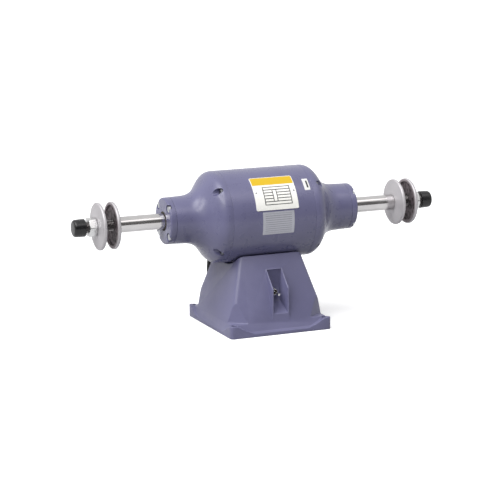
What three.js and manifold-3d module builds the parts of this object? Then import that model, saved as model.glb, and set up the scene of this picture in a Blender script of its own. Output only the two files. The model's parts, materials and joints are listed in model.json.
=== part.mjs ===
import * as THREE from "three";
import { mergeVertices } from "three/addons/utils/BufferGeometryUtils.js";
import Module from "manifold-3d";

// Double-ended bench polishing lathe, in millimetres.
// X runs along the spindle, the switch faces -Y, Z is up.
// The origin is on the bench, under the middle of the spindle.

const wasm = await Module();
wasm.setup();

// Fits
const seatGap = 0.3;
const runGap = 0.6;
const cutOverrun = 2;
const weldStep = 0.0001;

// Facets round each kind of turned piece
const bodyFacets = 32;
const flangeFacets = 28;
const spindleFacets = 20;
const bearingFacets = 16;
const smallFacets = 12;
const holeFacets = 6;
const bossFacets = 8;
const saddleFacets = 64;

// Spindle and its height above the bench
const shaftHeight = 204;
const shaftRadius = 14.3;
const shaftShoulderReach = 272.7;
const threadRadius = 9.5;
const threadSpare = 21.3;
const threadChamfer = 1.2;
const rotorSeatRadius = 17.5;

// Ball bearings
const bearingBoreRadius = 15;
const bearingOuterRadius = 31;
const bearingWidth = 16;
const bearingFaceReach = 166.3;
const ballRadius = 4.7;
const ballGap = 0.6;
const ballCount = 7;
const ballFacets = 6;
const grooveRadius = 5.2;
const raceLand = 3;
const cageWall = 2.4;
const cageWidth = 6;
const washerSheet = 1;
const washerWave = 0.8;
const washerWaveCount = 3;

// Motor shell and end bells
const motorRadius = 83.3;
const shellHalfLength = 80;
const shellWall = 3;
const bellRimLength = 6;
const bellLipLength = 5;
const bellLipWall = 9;
const bellFlareReach = 150;
const bellFlareSwell = 0.8;
const bellFlareSteps = 5;
const bellFlareHandleShares = [0.41, 0.34];
const bellWebThickness = 5;
const bellCavityNeckRadius = 34;
const bellCavitySteps = 2;
const bossRadius = 42.2;
const bossReach = 171.5;

// Bearing caps and their screws
const capThickness = 12;
const capRimRound = 1.8;
const capSkin = 6.5;
const capSpigotWall = 6.7;
const capScrewCircleRadius = 35.6;
const capScrewRadius = 2.8;
const capScrewLength = 17;
const capPocketRadius = 8;
const capPocketDepth = 5.5;
const screwHeadAcrossFlats = 10.5;
const screwHeadHeight = 4.4;
const cornerAngles = [45, 135, 225, 315].map(THREE.MathUtils.degToRad);

// Through bolts that clamp the bells onto the shell
const throughBoltInset = 6.8;
const throughBoltRadius = 2.4;
const throughBoltHeadAcrossFlats = 9.5;
const throughBoltHeadHeight = 4.6;
const throughBoltNutHeight = 4;
const throughBoltTailLength = 1.5;
const boltPocketRadius = 9.5;
const boltPocketInset = 10;
const boltBossWall = 2.5;

// Stator and rotor
const stackHalfLength = 45;
const stackDepth = 36.3;
const airGap = 0.7;
const rotorRingLength = 12;
const rotorRingInset = 3;
const slotCount = 24;
const slotWidth = 5;
const slotDepth = 18;
const slotMouthDepth = 2;
const windingOverhang = 22;

// Flanges that hold the wheel, nuts and tip caps
const flangeRadius = 42.5;
const flangeRimWidth = 6;
const flangeRimThickness = 6;
const flangeRimRound = 1.4;
const flangeRecess = 3.5;
const flangeHubRadius = 18;
const flangeHubRise = 3;
const wheelGap = 19.4;
const clampNutAcrossFlats = 31.75;
const clampNutHeight = 15;
const tipCapWall = 5.2;
const tipCapLength = 21.5;
const tipCapRadius = 16;
const tipCapShares = [
  [0, 0.95],
  [0.04, 1],
  [0.6, 1],
  [0.83, 0.9],
  [0.96, 0.68],
  [1, 0.36],
];

// Nameplate on the front of the shell
const plateThickness = 0.8;
const plateLeft = -36;
const plateRight = 46;
const plateLowAngle = THREE.MathUtils.degToRad(13);
const plateHighAngle = THREE.MathUtils.degToRad(59);
const plateSteps = 9;
const platePinInset = 4.5;
const platePinHeadRadius = 1.7;
const platePinHeadHeight = 0.7;
const platePinRadius = 1;
const platePinLength = 3.4;

// Pedestal casting
const baseHalfX = 98;
const baseHalfY = 106;
const baseCorner = 6;
const skirtHeight = 6.5;
const slopeFootHeight = 9;
const slopeFootInsetX = 1.9;
const slopeFootInsetY = 4.9;
const neckHeight = 133;
const neckHalfX = 62;
const neckHalfY = 58.1;
const neckCorner = 8;
const cornerSteps = 3;
const castingWall = 7;
const saddleGap = 3.2;
const saddleRoof = 9;
const padHalfWidth = 28;
const padLength = 30;
const padMiddle = 35;
const motorBoltRadius = 4;
const motorBoltHeadAcrossFlats = 13;
const motorBoltHeadHeight = 5.5;

// Corner lugs of the pedestal
const lugHeight = 23.4;
const lugLength = 46;
const lugShares = [
  [0, 1],
  [0.3, 0.9],
  [0.61, 0.42],
  [1, 0],
];
const lugHoleInsetX = 10;
const lugHoleInsetY = 9;
const lugHoleRadius = 4.5;
const lugWallInset = 30.2;
const lugWallAngle = THREE.MathUtils.degToRad(54.3);

// Bottom cover
const coverSheet = 1.5;
const coverRecess = 3;
const coverLedge = 3;
const coverCornerInset = 23.3;
const coverScrewInsetX = 26.1;
const coverScrewInsetY = 5.4;
const coverScrewRadius = 2;
const coverScrewLength = 7;
const coverScrewHeadRadius = 3.6;
const coverScrewHeadHeight = 0.9;

// Switch pocket with its hood
const pocketMiddleX = 2.9;
const pocketHalfWidth = 13.5;
const pocketDepth = 40.5;
const pocketSillHeight = 36.3;
const pocketTopHeight = 112;
const pocketWall = 5;
const hoodInset = 10;
const hoodWall = 3;
const hoodFootHeight = 20;
const hoodShoulderHeight = 82;
const hoodTopHeight = 114;
const hoodRoot = 26;
const pocketBackShares = [
  [0.207, 0.877],
  [0.287, 0.926],
  [0.538, 1],
  [0.67, 0.963],
  [0.815, 0.877],
  [1, 0.753],
];

// Toggle switch
const switchHeight = 68.5;
const bushingRadius = 5.9;
const bushingReach = 13.5;
const bushingBoreRadius = 4.2;
const bushingBoreDepth = 9.5;
const switchBodyWidth = 30;
const switchBodyHeight = 16;
const switchBodyDepth = 26;
const switchNutAcrossFlats = 15;
const switchNutHeight = 2.5;
const leverPivotReach = 8.3;
const leverBallRadius = 3.8;
const leverLength = 24.9;
const leverRest = THREE.MathUtils.degToRad(11);
const leverShares = [
  [0.153, 0],
  [0.11, 0.7],
  [0, 1],
  [-0.11, 0.7],
  [-0.135, 0.45],
  [-0.74, 0.36],
  [-0.82, 0.55],
  [-0.91, 0.68],
  [-0.98, 0.5],
  [-1, 0],
];

// Start capacitor, lying on the bottom cover under its strap
const capacitorRadius = 18;
const capacitorLength = 85;
const capacitorWallGap = 17.3;
const capacitorRim = 1.2;
const strapSheet = 1.5;
const strapWidth = 18;
const strapFoot = 10;
const strapSteps = 12;

// Supply cord: relief, free run, coil and plug
const cordDiameter = 8.4;
const cordExitX = -41.5;
const cordExitHeight = 116;
const cordBossRadius = 12;
const cordBossReach = 68.5;
const reliefNeckRadius = 6.5;
const reliefCollarRadius = 9.5;
const reliefCollarLength = 3;
const reliefLength = 26;
const reliefRootRadius = 7.6;
const reliefTipRadius = 5.4;
const cordSides = 8;
const cordSteps = 34;
const coilMiddleX = 70;
const coilMiddleY = 173.5;
const coilTurns = 5;
const coilMeanDiameterShare = 10.4;
const coilTailTurns = 0.25;
const coilTailSwing = 26;
const coilTailDropShare = 0.25;
const coilTurnGap = 0.8;
const coilBenchGap = 0.2;
const coilStepsPerTurn = 24;
const coilSides = 6;
const plugLength = 34;
const plugWidth = 26;
const plugHalfHeight = 11;
const plugNeckLength = 12;
const plugNeckRadius = 6;
const plugCorner = 5;
const bladeLength = 17;
const bladeWidth = 6.4;
const bladeSheet = 1.5;
const bladeSpacing = 12.7;
const groundPinRadius = 2.4;
const groundPinDrop = 6;

// Points that the cord's free run passes, chosen by hand, from the relief to the coil
const cordRoute = [
  [-41.5, 95.1, 116],
  [-41.5, 100, 116],
  [-41.5, 106, 116],
  [-41.5, 119.8, 113.3],
  [-41.5, 131.5, 105.5],
  [-41.5, 139.3, 93.8],
  [-41.5, 142, 80],
  [-41.5, 142, 66],
  [-41.5, 142, 52],
  [-41.5, 142, 40.5],
  [-38.8, 142, 26.7],
  [-31, 141.8, 15],
  [-19.3, 141, 7.2],
  [-5.5, 139, 4.6],
  [9, 135, 4.4],
  [25, 128.8, 4.4],
  [40, 122.6, 4.4],
  [51, 119.1, 4.4],
  [56, 118.4, 4.4],
  [58.5, 118.3, 4.4],
  [61.3, 118.3, 4.4],
];

// Sizes that follow from the ones above
const hoodReach = baseHalfY - hoodInset;
const pocketPoint = ([heightShare, depthShare]) => [
  depthShare * pocketDepth - hoodReach,
  pocketSillHeight + heightShare * (pocketTopHeight - pocketSillHeight),
];
const ballPitchRadius = (bearingBoreRadius + bearingOuterRadius) / 2;
const boltHoleRadius = throughBoltRadius + seatGap;
const shellBoreRadius = motorRadius - shellWall;
const boltPocketReach = shellHalfLength + boltPocketInset;
const throughBoltCircleRadius = motorRadius - throughBoltInset;
const saddleRadius = motorRadius + saddleGap;
const capOuterReach = bossReach + capThickness;
const capScrewFloorReach = capOuterReach - capPocketDepth;
const bearingBackReach = bearingFaceReach - bearingWidth;
const statorBoreRadius = shellBoreRadius - stackDepth;
const rotorRadius = statorBoreRadius - airGap;
const rotorRingInnerRadius = (rotorRadius + rotorSeatRadius) / 2;
const innerFlangeBackReach = shaftShoulderReach + seatGap;
const innerFlangeRimReach = innerFlangeBackReach + flangeHubRise + flangeRimThickness;
const outerFlangeRimReach = innerFlangeRimReach + wheelGap;
const outerFlangeBackReach = outerFlangeRimReach + flangeRimThickness + flangeHubRise;
const clampNutReach = outerFlangeBackReach + seatGap;
const threadReach = clampNutReach + clampNutHeight + threadSpare;
const tipCapReach = threadReach + seatGap + tipCapWall;
const tipCapInnerReach = tipCapReach - tipCapLength;
const slopeX = (baseHalfX - slopeFootInsetX - neckHalfX) / (neckHeight - slopeFootHeight);
const slopeY = (baseHalfY - slopeFootInsetY - neckHalfY) / (neckHeight - slopeFootHeight);
const faceHalfX = (height) => neckHalfX + slopeX * (neckHeight - height);
const faceHalfY = (height) => neckHalfY + slopeY * (neckHeight - height);
const hollowFootHalfX = faceHalfX(slopeFootHeight) - castingWall;
const hollowFootHalfY = faceHalfY(slopeFootHeight) - castingWall;
const cordRadius = cordDiameter / 2;
const coilPitch = cordDiameter + coilTurnGap;
const coilOuterRadius = (coilMeanDiameterShare * cordDiameter) / 2 + (coilPitch * coilTurns) / 4;
const platePinPlaces = [plateLeft + platePinInset, plateRight - platePinInset];
const quarters = [[1, 1], [-1, 1], [-1, -1], [1, -1]];
const lugWallAngles = [lugWallAngle, Math.PI - lugWallAngle, Math.PI + lugWallAngle, -lugWallAngle];
const cornerDistance = baseHalfX * Math.cos(lugWallAngle) + baseHalfY * Math.sin(lugWallAngle);
const coverScrewPlaces = quarters.map(([sideX, sideY]) => [
  sideX * (hollowFootHalfX + coverLedge - coverScrewInsetX),
  sideY * (hollowFootHalfY + coverLedge - coverScrewInsetY),
]);

const painted = new THREE.MeshStandardMaterial({ color: 0x6e6c90, roughness: 0.45, metalness: 0.1 });
const steel = new THREE.MeshStandardMaterial({ color: 0xc9c7c2, roughness: 0.2, metalness: 1 });
const castMetal = new THREE.MeshStandardMaterial({ color: 0xc6c4c6, roughness: 0.6, metalness: 0.6 });
const zinc = new THREE.MeshStandardMaterial({ color: 0xb8b9bb, roughness: 0.35, metalness: 0.9 });
const lamination = new THREE.MeshStandardMaterial({ color: 0x55585c, roughness: 0.5, metalness: 0.8 });
const copper = new THREE.MeshStandardMaterial({ color: 0xa8602f, roughness: 0.5, metalness: 0.6 });
const blackRubber = new THREE.MeshStandardMaterial({ color: 0x1b1b1d, roughness: 0.7, metalness: 0 });
const brownPhenolic = new THREE.MeshStandardMaterial({ color: 0x2c1c14, roughness: 0.5, metalness: 0 });
const plateWhite = new THREE.MeshStandardMaterial({ color: 0xf1efe6, roughness: 0.4, metalness: 0.1 });
const capacitorBlack = new THREE.MeshStandardMaterial({ color: 0x26282b, roughness: 0.5, metalness: 0 });

// Body-making helpers

function closedBody(geometry) {
  geometry.deleteAttribute("normal");
  geometry.deleteAttribute("uv");
  const welded = mergeVertices(geometry, weldStep);
  const place = welded.attributes.position;
  const corners = [0, 1, 2].map(() => new THREE.Vector3());
  const kept = [];
  let volume = 0;
  for (let start = 0; start < welded.index.count; start += 3) {
    const triangle = [0, 1, 2].map((offset) => welded.index.getX(start + offset));
    if (new Set(triangle).size < 3) continue;
    kept.push(...triangle);
    triangle.forEach((vertex, corner) => corners[corner].fromBufferAttribute(place, vertex));
    volume += corners[0].dot(corners[1].clone().cross(corners[2]));
  }
  welded.setIndex(volume < 0 ? kept.reverse() : kept);
  return welded;
}

function toSolid(geometry) {
  return new wasm.Manifold(new wasm.Mesh({
    numProp: 3,
    vertProperties: new Float32Array(geometry.attributes.position.array),
    triVerts: new Uint32Array(geometry.index.array),
  }));
}

function toGeometry(solid) {
  const mesh = solid.getMesh();
  const geometry = new THREE.BufferGeometry();
  geometry.setAttribute("position", new THREE.BufferAttribute(mesh.vertProperties, 3));
  geometry.setIndex(new THREE.BufferAttribute(mesh.triVerts, 1));
  return geometry;
}

function cut(body, ...tools) {
  return toGeometry(tools.reduce((solid, tool) => solid.subtract(toSolid(tool)), toSolid(body)));
}

function join(body, ...others) {
  return toGeometry(others.reduce((solid, other) => solid.add(toSolid(other)), toSolid(body)));
}

function common(body, other) {
  return toGeometry(toSolid(body).intersect(toSolid(other)));
}

// A body turned about X. Its profile is a list of [place along X, radius].
function turned(profile, facets) {
  const points = profile.map(([along, radius]) => new THREE.Vector2(radius, along));
  if (points[0].x > 0) points.push(points[0].clone());
  return closedBody(new THREE.LatheGeometry(points, facets).rotateZ(-Math.PI / 2));
}

function rodX(radius, from, to, facets = smallFacets) {
  return turned([[from, 0], [from, radius], [to, radius], [to, 0]], facets);
}

function rodY(radius, from, to, facets = smallFacets) {
  return rodX(radius, from, to, facets).rotateZ(Math.PI / 2);
}

function rodZ(radius, from, to, facets = smallFacets) {
  return rodX(radius, from, to, facets).rotateY(-Math.PI / 2);
}

// A hexagonal prism along X, one pair of flats level
function hexX(acrossFlats, from, to) {
  const prism = new THREE.CylinderGeometry(1, 1, 1, 6).rotateZ(-Math.PI / 2).rotateX(Math.PI / 2);
  const cornerRadius = acrossFlats / Math.sqrt(3);
  prism.scale(to - from, cornerRadius, cornerRadius).translate((from + to) / 2, 0, 0);
  return closedBody(prism);
}

function block(lowX, highX, lowY, highY, lowZ, highZ) {
  const box = new THREE.BoxGeometry(highX - lowX, highY - lowY, highZ - lowZ);
  return closedBody(box.translate((lowX + highX) / 2, (lowY + highY) / 2, (lowZ + highZ) / 2));
}

function prism(outline, depth, steps = 1) {
  const shape = new THREE.Shape(outline.map(([across, up]) => new THREE.Vector2(across, up)));
  return new THREE.ExtrudeGeometry(shape, { depth, bevelEnabled: false, curveSegments: steps });
}

// An outline in Y and Z carried along X
function prismX(outline, fromX, toX) {
  const turn = new THREE.Matrix4().makeBasis(
    new THREE.Vector3(0, 1, 0),
    new THREE.Vector3(0, 0, 1),
    new THREE.Vector3(1, 0, 0),
  );
  return closedBody(prism(outline, toX - fromX).applyMatrix4(turn).translate(fromX, 0, 0));
}

// An outline in X and Z carried along Y, evenly to both sides
function prismY(outline, halfDepth) {
  const raised = prism(outline, 2 * halfDepth).rotateX(Math.PI / 2);
  return closedBody(raised.translate(0, halfDepth, 0));
}

function roundedRectangle(halfX, halfY, corner) {
  return quarters.flatMap(([sideX, sideY], quarter) =>
    Array.from({ length: cornerSteps + 1 }, (_, step) => {
      const angle = ((quarter + step / cornerSteps) * Math.PI) / 2;
      return [
        sideX * (halfX - corner) + corner * Math.cos(angle),
        sideY * (halfY - corner) + corner * Math.sin(angle),
      ];
    }));
}

// Outlines of equal point count, each a list of [x, y, z], skinned from first to last
function lofted(outlines) {
  const count = outlines[0].length;
  const places = outlines.flat(2);
  const indices = [];
  outlines.slice(1).forEach((_, level) => {
    for (let point = 0; point < count; point += 1) {
      const next = (point + 1) % count;
      const low = level * count;
      const high = low + count;
      indices.push(low + point, low + next, high + next, low + point, high + next, high + point);
    }
  });
  const last = (outlines.length - 1) * count;
  for (let point = 1; point < count - 1; point += 1) {
    indices.push(0, point + 1, point, last, last + point, last + point + 1);
  }
  const geometry = new THREE.BufferGeometry();
  geometry.setAttribute("position", new THREE.Float32BufferAttribute(places, 3));
  geometry.setIndex(indices);
  return closedBody(geometry);
}

// Round section of a given side count, carried along a curve
function tubeAlong(curve, radius, sides, steps) {
  const section = new THREE.Shape(Array.from({ length: sides }, (_, side) => {
    const angle = (2 * Math.PI * side) / sides;
    return new THREE.Vector2(radius * Math.cos(angle), radius * Math.sin(angle));
  }));
  return closedBody(new THREE.ExtrudeGeometry(section, { steps, extrudePath: curve, bevelEnabled: false }));
}

function part(name, geometry, material) {
  const mesh = new THREE.Mesh(geometry, material);
  mesh.name = name;
  return mesh;
}

function group(...members) {
  return new THREE.Group().add(...members);
}

// Everything on the spindle's axis is drawn for the +X end, and turned half round for the other end
const ends = [
  { side: "right", turn: 0 },
  { side: "left", turn: Math.PI },
];

function onAxis(turn, ...members) {
  const placed = group(...members);
  placed.position.z = shaftHeight;
  placed.rotation.z = turn;
  return placed;
}

function round(angle, radius) {
  return [radius * Math.cos(angle), radius * Math.sin(angle)];
}

// Motor housing

function bezierProfile(start, end, handleShares, steps) {
  const span = end[0] - start[0];
  const curve = new THREE.CubicBezierCurve(
    new THREE.Vector2(...start),
    new THREE.Vector2(start[0] + handleShares[0] * span, start[1]),
    new THREE.Vector2(start[0] + handleShares[1] * span, end[1]),
    new THREE.Vector2(...end),
  );
  return curve.getPoints(steps).map((point) => [point.x, point.y]);
}

function motorShell() {
  const tube = turned([
    [-shellHalfLength, shellBoreRadius],
    [-shellHalfLength, motorRadius],
    [shellHalfLength, motorRadius],
    [shellHalfLength, shellBoreRadius],
  ], bodyFacets);
  const boltHoles = [-1, 1].map((side) =>
    rodZ(motorBoltRadius + seatGap, -motorRadius - cutOverrun, -shellBoreRadius + cutOverrun, holeFacets)
      .translate(side * padMiddle, 0, 0));
  const pinHoles = platePinPlaces.map((along) => atPlate(
    rodX(platePinRadius + seatGap, shellBoreRadius - cutOverrun, motorRadius + cutOverrun, holeFacets),
    along,
  ));
  return cut(tube, ...boltHoles, ...pinHoles);
}

function bellOuterProfile() {
  const rim = shellHalfLength + seatGap;
  const flare = bezierProfile(
    [shellHalfLength + bellRimLength, motorRadius],
    [bellFlareReach, bossRadius + bellFlareSwell],
    bellFlareHandleShares,
    bellFlareSteps,
  );
  return [[rim, motorRadius], ...flare, [bossReach, bossRadius]];
}

function endBell(bearingShoulderReach) {
  const rim = shellHalfLength + seatGap;
  const lipStart = shellHalfLength - bellLipLength;
  const lipRadius = shellBoreRadius - seatGap;
  const cavityRadius = lipRadius - bellLipWall;
  const webReach = bearingShoulderReach - bellWebThickness;
  const seatRadius = bearingOuterRadius + seatGap;
  const skin = turned(
    [[lipStart, 0], [lipStart, lipRadius], [rim, lipRadius], ...bellOuterProfile(), [bossReach, 0]],
    bodyFacets,
  );
  const cavity = turned([
    [lipStart - cutOverrun, 0],
    [lipStart - cutOverrun, cavityRadius],
    ...bezierProfile(
      [shellHalfLength + bellRimLength, cavityRadius],
      [webReach, bellCavityNeckRadius],
      bellFlareHandleShares,
      bellCavitySteps,
    ),
    [webReach, ballPitchRadius],
    [bearingShoulderReach, ballPitchRadius],
    [bearingShoulderReach, seatRadius],
    [bossReach + cutOverrun, seatRadius],
    [bossReach + cutOverrun, 0],
  ], bodyFacets);
  const atBolts = (radius, from, to, facets) => cornerAngles.map((angle) =>
    rodX(radius, from, to, facets).translate(0, ...round(angle, throughBoltCircleRadius)));
  const bosses = atBolts(boltPocketRadius + boltBossWall, rim, bellFlareReach, bossFacets);
  const pockets = atBolts(boltPocketRadius, boltPocketReach, bellFlareReach + cutOverrun, smallFacets);
  const holes = atBolts(boltHoleRadius, 0, bellFlareReach, holeFacets);
  const screwHoles = cornerAngles.map((angle) => {
    const end = capScrewFloorReach - capScrewLength - seatGap;
    return rodX(capScrewRadius + seatGap, end, capOuterReach, holeFacets)
      .translate(0, ...round(angle, capScrewCircleRadius));
  });
  return cut(skin, cut(cavity, ...bosses), ...pockets, ...holes, ...screwHoles);
}

function bearingCap() {
  const innerFace = bossReach + seatGap;
  const spigotRadius = bearingOuterRadius;
  const hollowRadius = spigotRadius - capSpigotWall;
  const body = turned([
    [capOuterReach, shaftRadius + runGap],
    [capOuterReach - capSkin, shaftRadius + runGap],
    [capOuterReach - capSkin, hollowRadius],
    [bearingFaceReach + seatGap, hollowRadius],
    [bearingFaceReach + seatGap, spigotRadius],
    [innerFace, spigotRadius],
    [innerFace, bossRadius],
    [capOuterReach - capRimRound, bossRadius],
    [capOuterReach, bossRadius - capRimRound],
  ], bodyFacets);
  const tools = cornerAngles.flatMap((angle) => {
    const place = round(angle, capScrewCircleRadius);
    return [
      rodX(capPocketRadius, capScrewFloorReach, capOuterReach + cutOverrun).translate(0, ...place),
      rodX(capScrewRadius + seatGap, innerFace - cutOverrun, capOuterReach, holeFacets)
        .translate(0, ...place),
    ];
  });
  return cut(body, ...tools);
}

// A hexagon head on the outer side of a face, with a round shank behind it
function hexScrew(faceReach, acrossFlats, headHeight, shankRadius, shankLength) {
  const head = hexX(acrossFlats, faceReach + seatGap, faceReach + seatGap + headHeight);
  const shank = rodX(shankRadius, faceReach - shankLength, faceReach + seatGap + headHeight / 2, holeFacets);
  return join(head, shank);
}

function capScrews(side) {
  return cornerAngles.map((angle, index) => {
    const screw = hexScrew(
      capScrewFloorReach,
      screwHeadAcrossFlats,
      screwHeadHeight,
      capScrewRadius,
      capScrewLength,
    );
    return part(
      `${side}_bearing_cap_screw_${index + 1}`,
      screw.translate(0, ...round(angle, capScrewCircleRadius)),
      zinc,
    );
  });
}

// The bolt heads sit in the left pockets and the nuts in the right ones
function throughBolts() {
  const tail = boltPocketReach + seatGap + throughBoltNutHeight + throughBoltTailLength;
  return cornerAngles.flatMap((angle, index) => {
    const place = round(angle, throughBoltCircleRadius);
    const bolt = hexScrew(
      boltPocketReach,
      throughBoltHeadAcrossFlats,
      throughBoltHeadHeight,
      throughBoltRadius,
      boltPocketReach + tail,
    ).rotateZ(Math.PI);
    const nut = cut(
      hexX(throughBoltHeadAcrossFlats, boltPocketReach + seatGap, tail - throughBoltTailLength),
      rodX(boltHoleRadius, 0, tail + cutOverrun, holeFacets),
    );
    return [
      part(`through_bolt_${index + 1}`, bolt.translate(0, ...place), zinc),
      part(`through_bolt_nut_${index + 1}`, nut.translate(0, ...place), zinc),
    ];
  });
}

// Stator and rotor

function slotBars(width, bottomReach, topReach, halfLength) {
  return Array.from({ length: slotCount }, (_, slot) => {
    const bar = block(-halfLength, halfLength, -width / 2, width / 2, bottomReach, topReach);
    return bar.rotateX((2 * Math.PI * slot) / slotCount);
  });
}

function statorCore() {
  const ring = turned([
    [-stackHalfLength, statorBoreRadius],
    [-stackHalfLength, shellBoreRadius - seatGap],
    [stackHalfLength, shellBoreRadius - seatGap],
    [stackHalfLength, statorBoreRadius],
  ], bodyFacets);
  const slots = slotBars(
    slotWidth,
    statorBoreRadius - cutOverrun,
    statorBoreRadius + slotDepth,
    stackHalfLength + cutOverrun,
  );
  const holes = cornerAngles.map((angle) =>
    rodX(boltHoleRadius, -shellHalfLength, shellHalfLength, holeFacets)
      .translate(0, ...round(angle, throughBoltCircleRadius)));
  return cut(ring, ...slots, ...holes);
}

function statorWinding() {
  const inner = statorBoreRadius + slotMouthDepth;
  const outer = statorBoreRadius + slotDepth - seatGap;
  const start = stackHalfLength + seatGap;
  const end = stackHalfLength + windingOverhang;
  const crown = (outer - inner) / 3;
  const ring = () => turned([
    [start, inner],
    [start, outer],
    [end - crown, outer],
    [end, (inner + outer) / 2],
    [end - crown, inner],
  ], slotCount);
  const inset = (outer - inner) / 8;
  const bars = slotBars(slotWidth - 2 * seatGap, inner + inset, outer - inset, start + crown);
  return join(ring(), ring().rotateZ(Math.PI), ...bars);
}

function rotor() {
  const bore = rotorSeatRadius + seatGap;
  const ringEnd = stackHalfLength + rotorRingLength;
  const half = [
    [stackHalfLength, rotorRadius],
    [ringEnd, rotorRadius - rotorRingInset],
    [ringEnd, rotorRingInnerRadius],
    [stackHalfLength, bore],
  ];
  const mirrored = half.map(([along, radius]) => [-along, radius]).reverse();
  return turned([...half, ...mirrored], spindleFacets);
}

// Spindle, bearings and what clamps the wheel

function shaft() {
  const journalEnd = bearingFaceReach + seatGap;
  const half = [
    [bearingBackReach - seatGap, rotorSeatRadius],
    [bearingBackReach - seatGap, bearingBoreRadius - seatGap],
    [journalEnd, bearingBoreRadius - seatGap],
    [journalEnd, shaftRadius],
    [shaftShoulderReach, shaftRadius],
    [shaftShoulderReach, 0],
  ];
  const mirrored = half.map(([along, radius]) => [-along, radius]).reverse();
  return turned([...mirrored, ...half], spindleFacets);
}

// The slimmer end of the spindle beyond its shoulder, which carries a wheel, nut and tip cap
function threadedEnd() {
  const root = shaftShoulderReach + seatGap;
  return turned([
    [root, 0],
    [root, threadRadius],
    [threadReach - threadChamfer, threadRadius],
    [threadReach, threadRadius - threadChamfer],
    [threadReach, 0],
  ], spindleFacets);
}

// Half-width of the ball groove where it meets a radius, measured from the ball's circle
function grooveHalfWidth(fromPitch) {
  return Math.sqrt(Math.max(grooveRadius ** 2 - fromPitch ** 2, 0));
}

function race(boreOrOuterRadius, towardsBalls) {
  const middle = bearingFaceReach - bearingWidth / 2;
  const half = bearingWidth / 2;
  const bottom = ballPitchRadius + towardsBalls * (ballRadius + ballGap);
  const land = ballPitchRadius + towardsBalls * raceLand;
  const landHalf = grooveHalfWidth(raceLand);
  const bottomHalf = grooveHalfWidth(ballRadius);
  return turned([
    [middle - half, boreOrOuterRadius],
    [middle - half, land],
    [middle - landHalf, land],
    [middle - bottomHalf, bottom],
    [middle + bottomHalf, bottom],
    [middle + landHalf, land],
    [middle + half, land],
    [middle + half, boreOrOuterRadius],
  ], spindleFacets);
}

function ballsInCage() {
  const middle = bearingFaceReach - bearingWidth / 2;
  const cage = turned([
    [middle - cageWidth / 2, ballPitchRadius - cageWall / 2],
    [middle - cageWidth / 2, ballPitchRadius + cageWall / 2],
    [middle + cageWidth / 2, ballPitchRadius + cageWall / 2],
    [middle + cageWidth / 2, ballPitchRadius - cageWall / 2],
  ], bearingFacets);
  const balls = Array.from({ length: ballCount }, (_, index) => {
    const ball = closedBody(new THREE.SphereGeometry(ballRadius, ballFacets, ballFacets - 2));
    return ball.translate(middle, ...round((2 * Math.PI * index) / ballCount, ballPitchRadius));
  });
  return join(cage, ...balls);
}

function waveWasher(shoulderReach) {
  const face = shoulderReach + seatGap + washerWave;
  const washer = turned([
    [face, ballPitchRadius + raceLand],
    [face, bearingOuterRadius - seatGap],
    [face + washerSheet, bearingOuterRadius - seatGap],
    [face + washerSheet, ballPitchRadius + raceLand],
  ], spindleFacets);
  const place = washer.attributes.position;
  for (let index = 0; index < place.count; index += 1) {
    const angle = Math.atan2(place.getZ(index), place.getY(index));
    place.setX(index, place.getX(index) + washerWave * Math.cos(washerWaveCount * angle));
  }
  return washer;
}

// Wheel flange with its wheel side at rimReach; outward is 1 when that side faces away from the motor
function wheelFlange(rimReach, outward) {
  const at = (depth) => rimReach - outward * depth;
  const bore = threadRadius + seatGap;
  const profile = [
    [at(flangeRecess), bore],
    [at(flangeRecess), flangeRadius - flangeRimWidth],
    [at(0), flangeRadius - flangeRimWidth],
    [at(0), flangeRadius - flangeRimRound],
    [at(flangeRimRound), flangeRadius],
    [at(flangeRimThickness - flangeRimRound), flangeRadius],
    [at(flangeRimThickness), flangeRadius - flangeRimRound],
    [at(flangeRimThickness + flangeHubRise), flangeHubRadius],
    [at(flangeRimThickness + flangeHubRise), bore],
  ];
  return turned(profile, flangeFacets);
}

function clampNut() {
  const end = clampNutReach + clampNutHeight;
  const cornerRadius = clampNutAcrossFlats / Math.sqrt(3);
  const chamfer = cornerRadius - clampNutAcrossFlats / 2;
  const rounding = turned([
    [clampNutReach, 0],
    [clampNutReach, cornerRadius],
    [end - chamfer / 2, cornerRadius],
    [end, clampNutAcrossFlats / 2],
    [end, 0],
  ], spindleFacets);
  const bore = rodX(threadRadius + seatGap, clampNutReach - cutOverrun, end + cutOverrun, spindleFacets);
  return cut(common(hexX(clampNutAcrossFlats, clampNutReach, end), rounding), bore);
}

function tipCap() {
  const skin = tipCapShares.map(([alongShare, radiusShare]) => [
    tipCapInnerReach + alongShare * tipCapLength,
    radiusShare * tipCapRadius,
  ]);
  return turned([
    [threadReach + seatGap, 0],
    [threadReach + seatGap, threadRadius + seatGap],
    [tipCapInnerReach, threadRadius + seatGap],
    ...skin,
    [tipCapReach, 0],
  ], bearingFacets);
}

// Nameplate with its two drive pins, which hold it to the shell

function nameplate() {
  const inner = motorRadius + seatGap;
  const outer = inner + plateThickness;
  const arc = (radius) => Array.from({ length: plateSteps + 1 }, (_, step) => {
    const angle = plateLowAngle + ((plateHighAngle - plateLowAngle) * step) / plateSteps;
    return [-radius * Math.cos(angle), radius * Math.sin(angle)];
  });
  const sheet = prismX([...arc(outer), ...arc(inner).reverse()], plateLeft, plateRight);
  const pins = platePinPlaces.map((along) => atPlate(platePin(outer), along));
  return join(sheet, ...pins);
}

// A piece drawn along +X out of the spindle's axis, turned to the middle of the plate's height
function atPlate(geometry, along) {
  const angle = (plateLowAngle + plateHighAngle) / 2;
  return geometry.rotateY(-angle).rotateZ(-Math.PI / 2).translate(along, 0, 0);
}

function platePin(plateFace) {
  const underHead = plateFace - plateThickness / 2;
  const top = plateFace + platePinHeadHeight;
  return turned([
    [plateFace - platePinLength, 0],
    [plateFace - platePinLength, platePinRadius],
    [underHead, platePinRadius],
    [underHead, platePinHeadRadius],
    [top, platePinHeadRadius / 2],
    [top, 0],
  ], holeFacets);
}

// Pedestal

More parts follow.
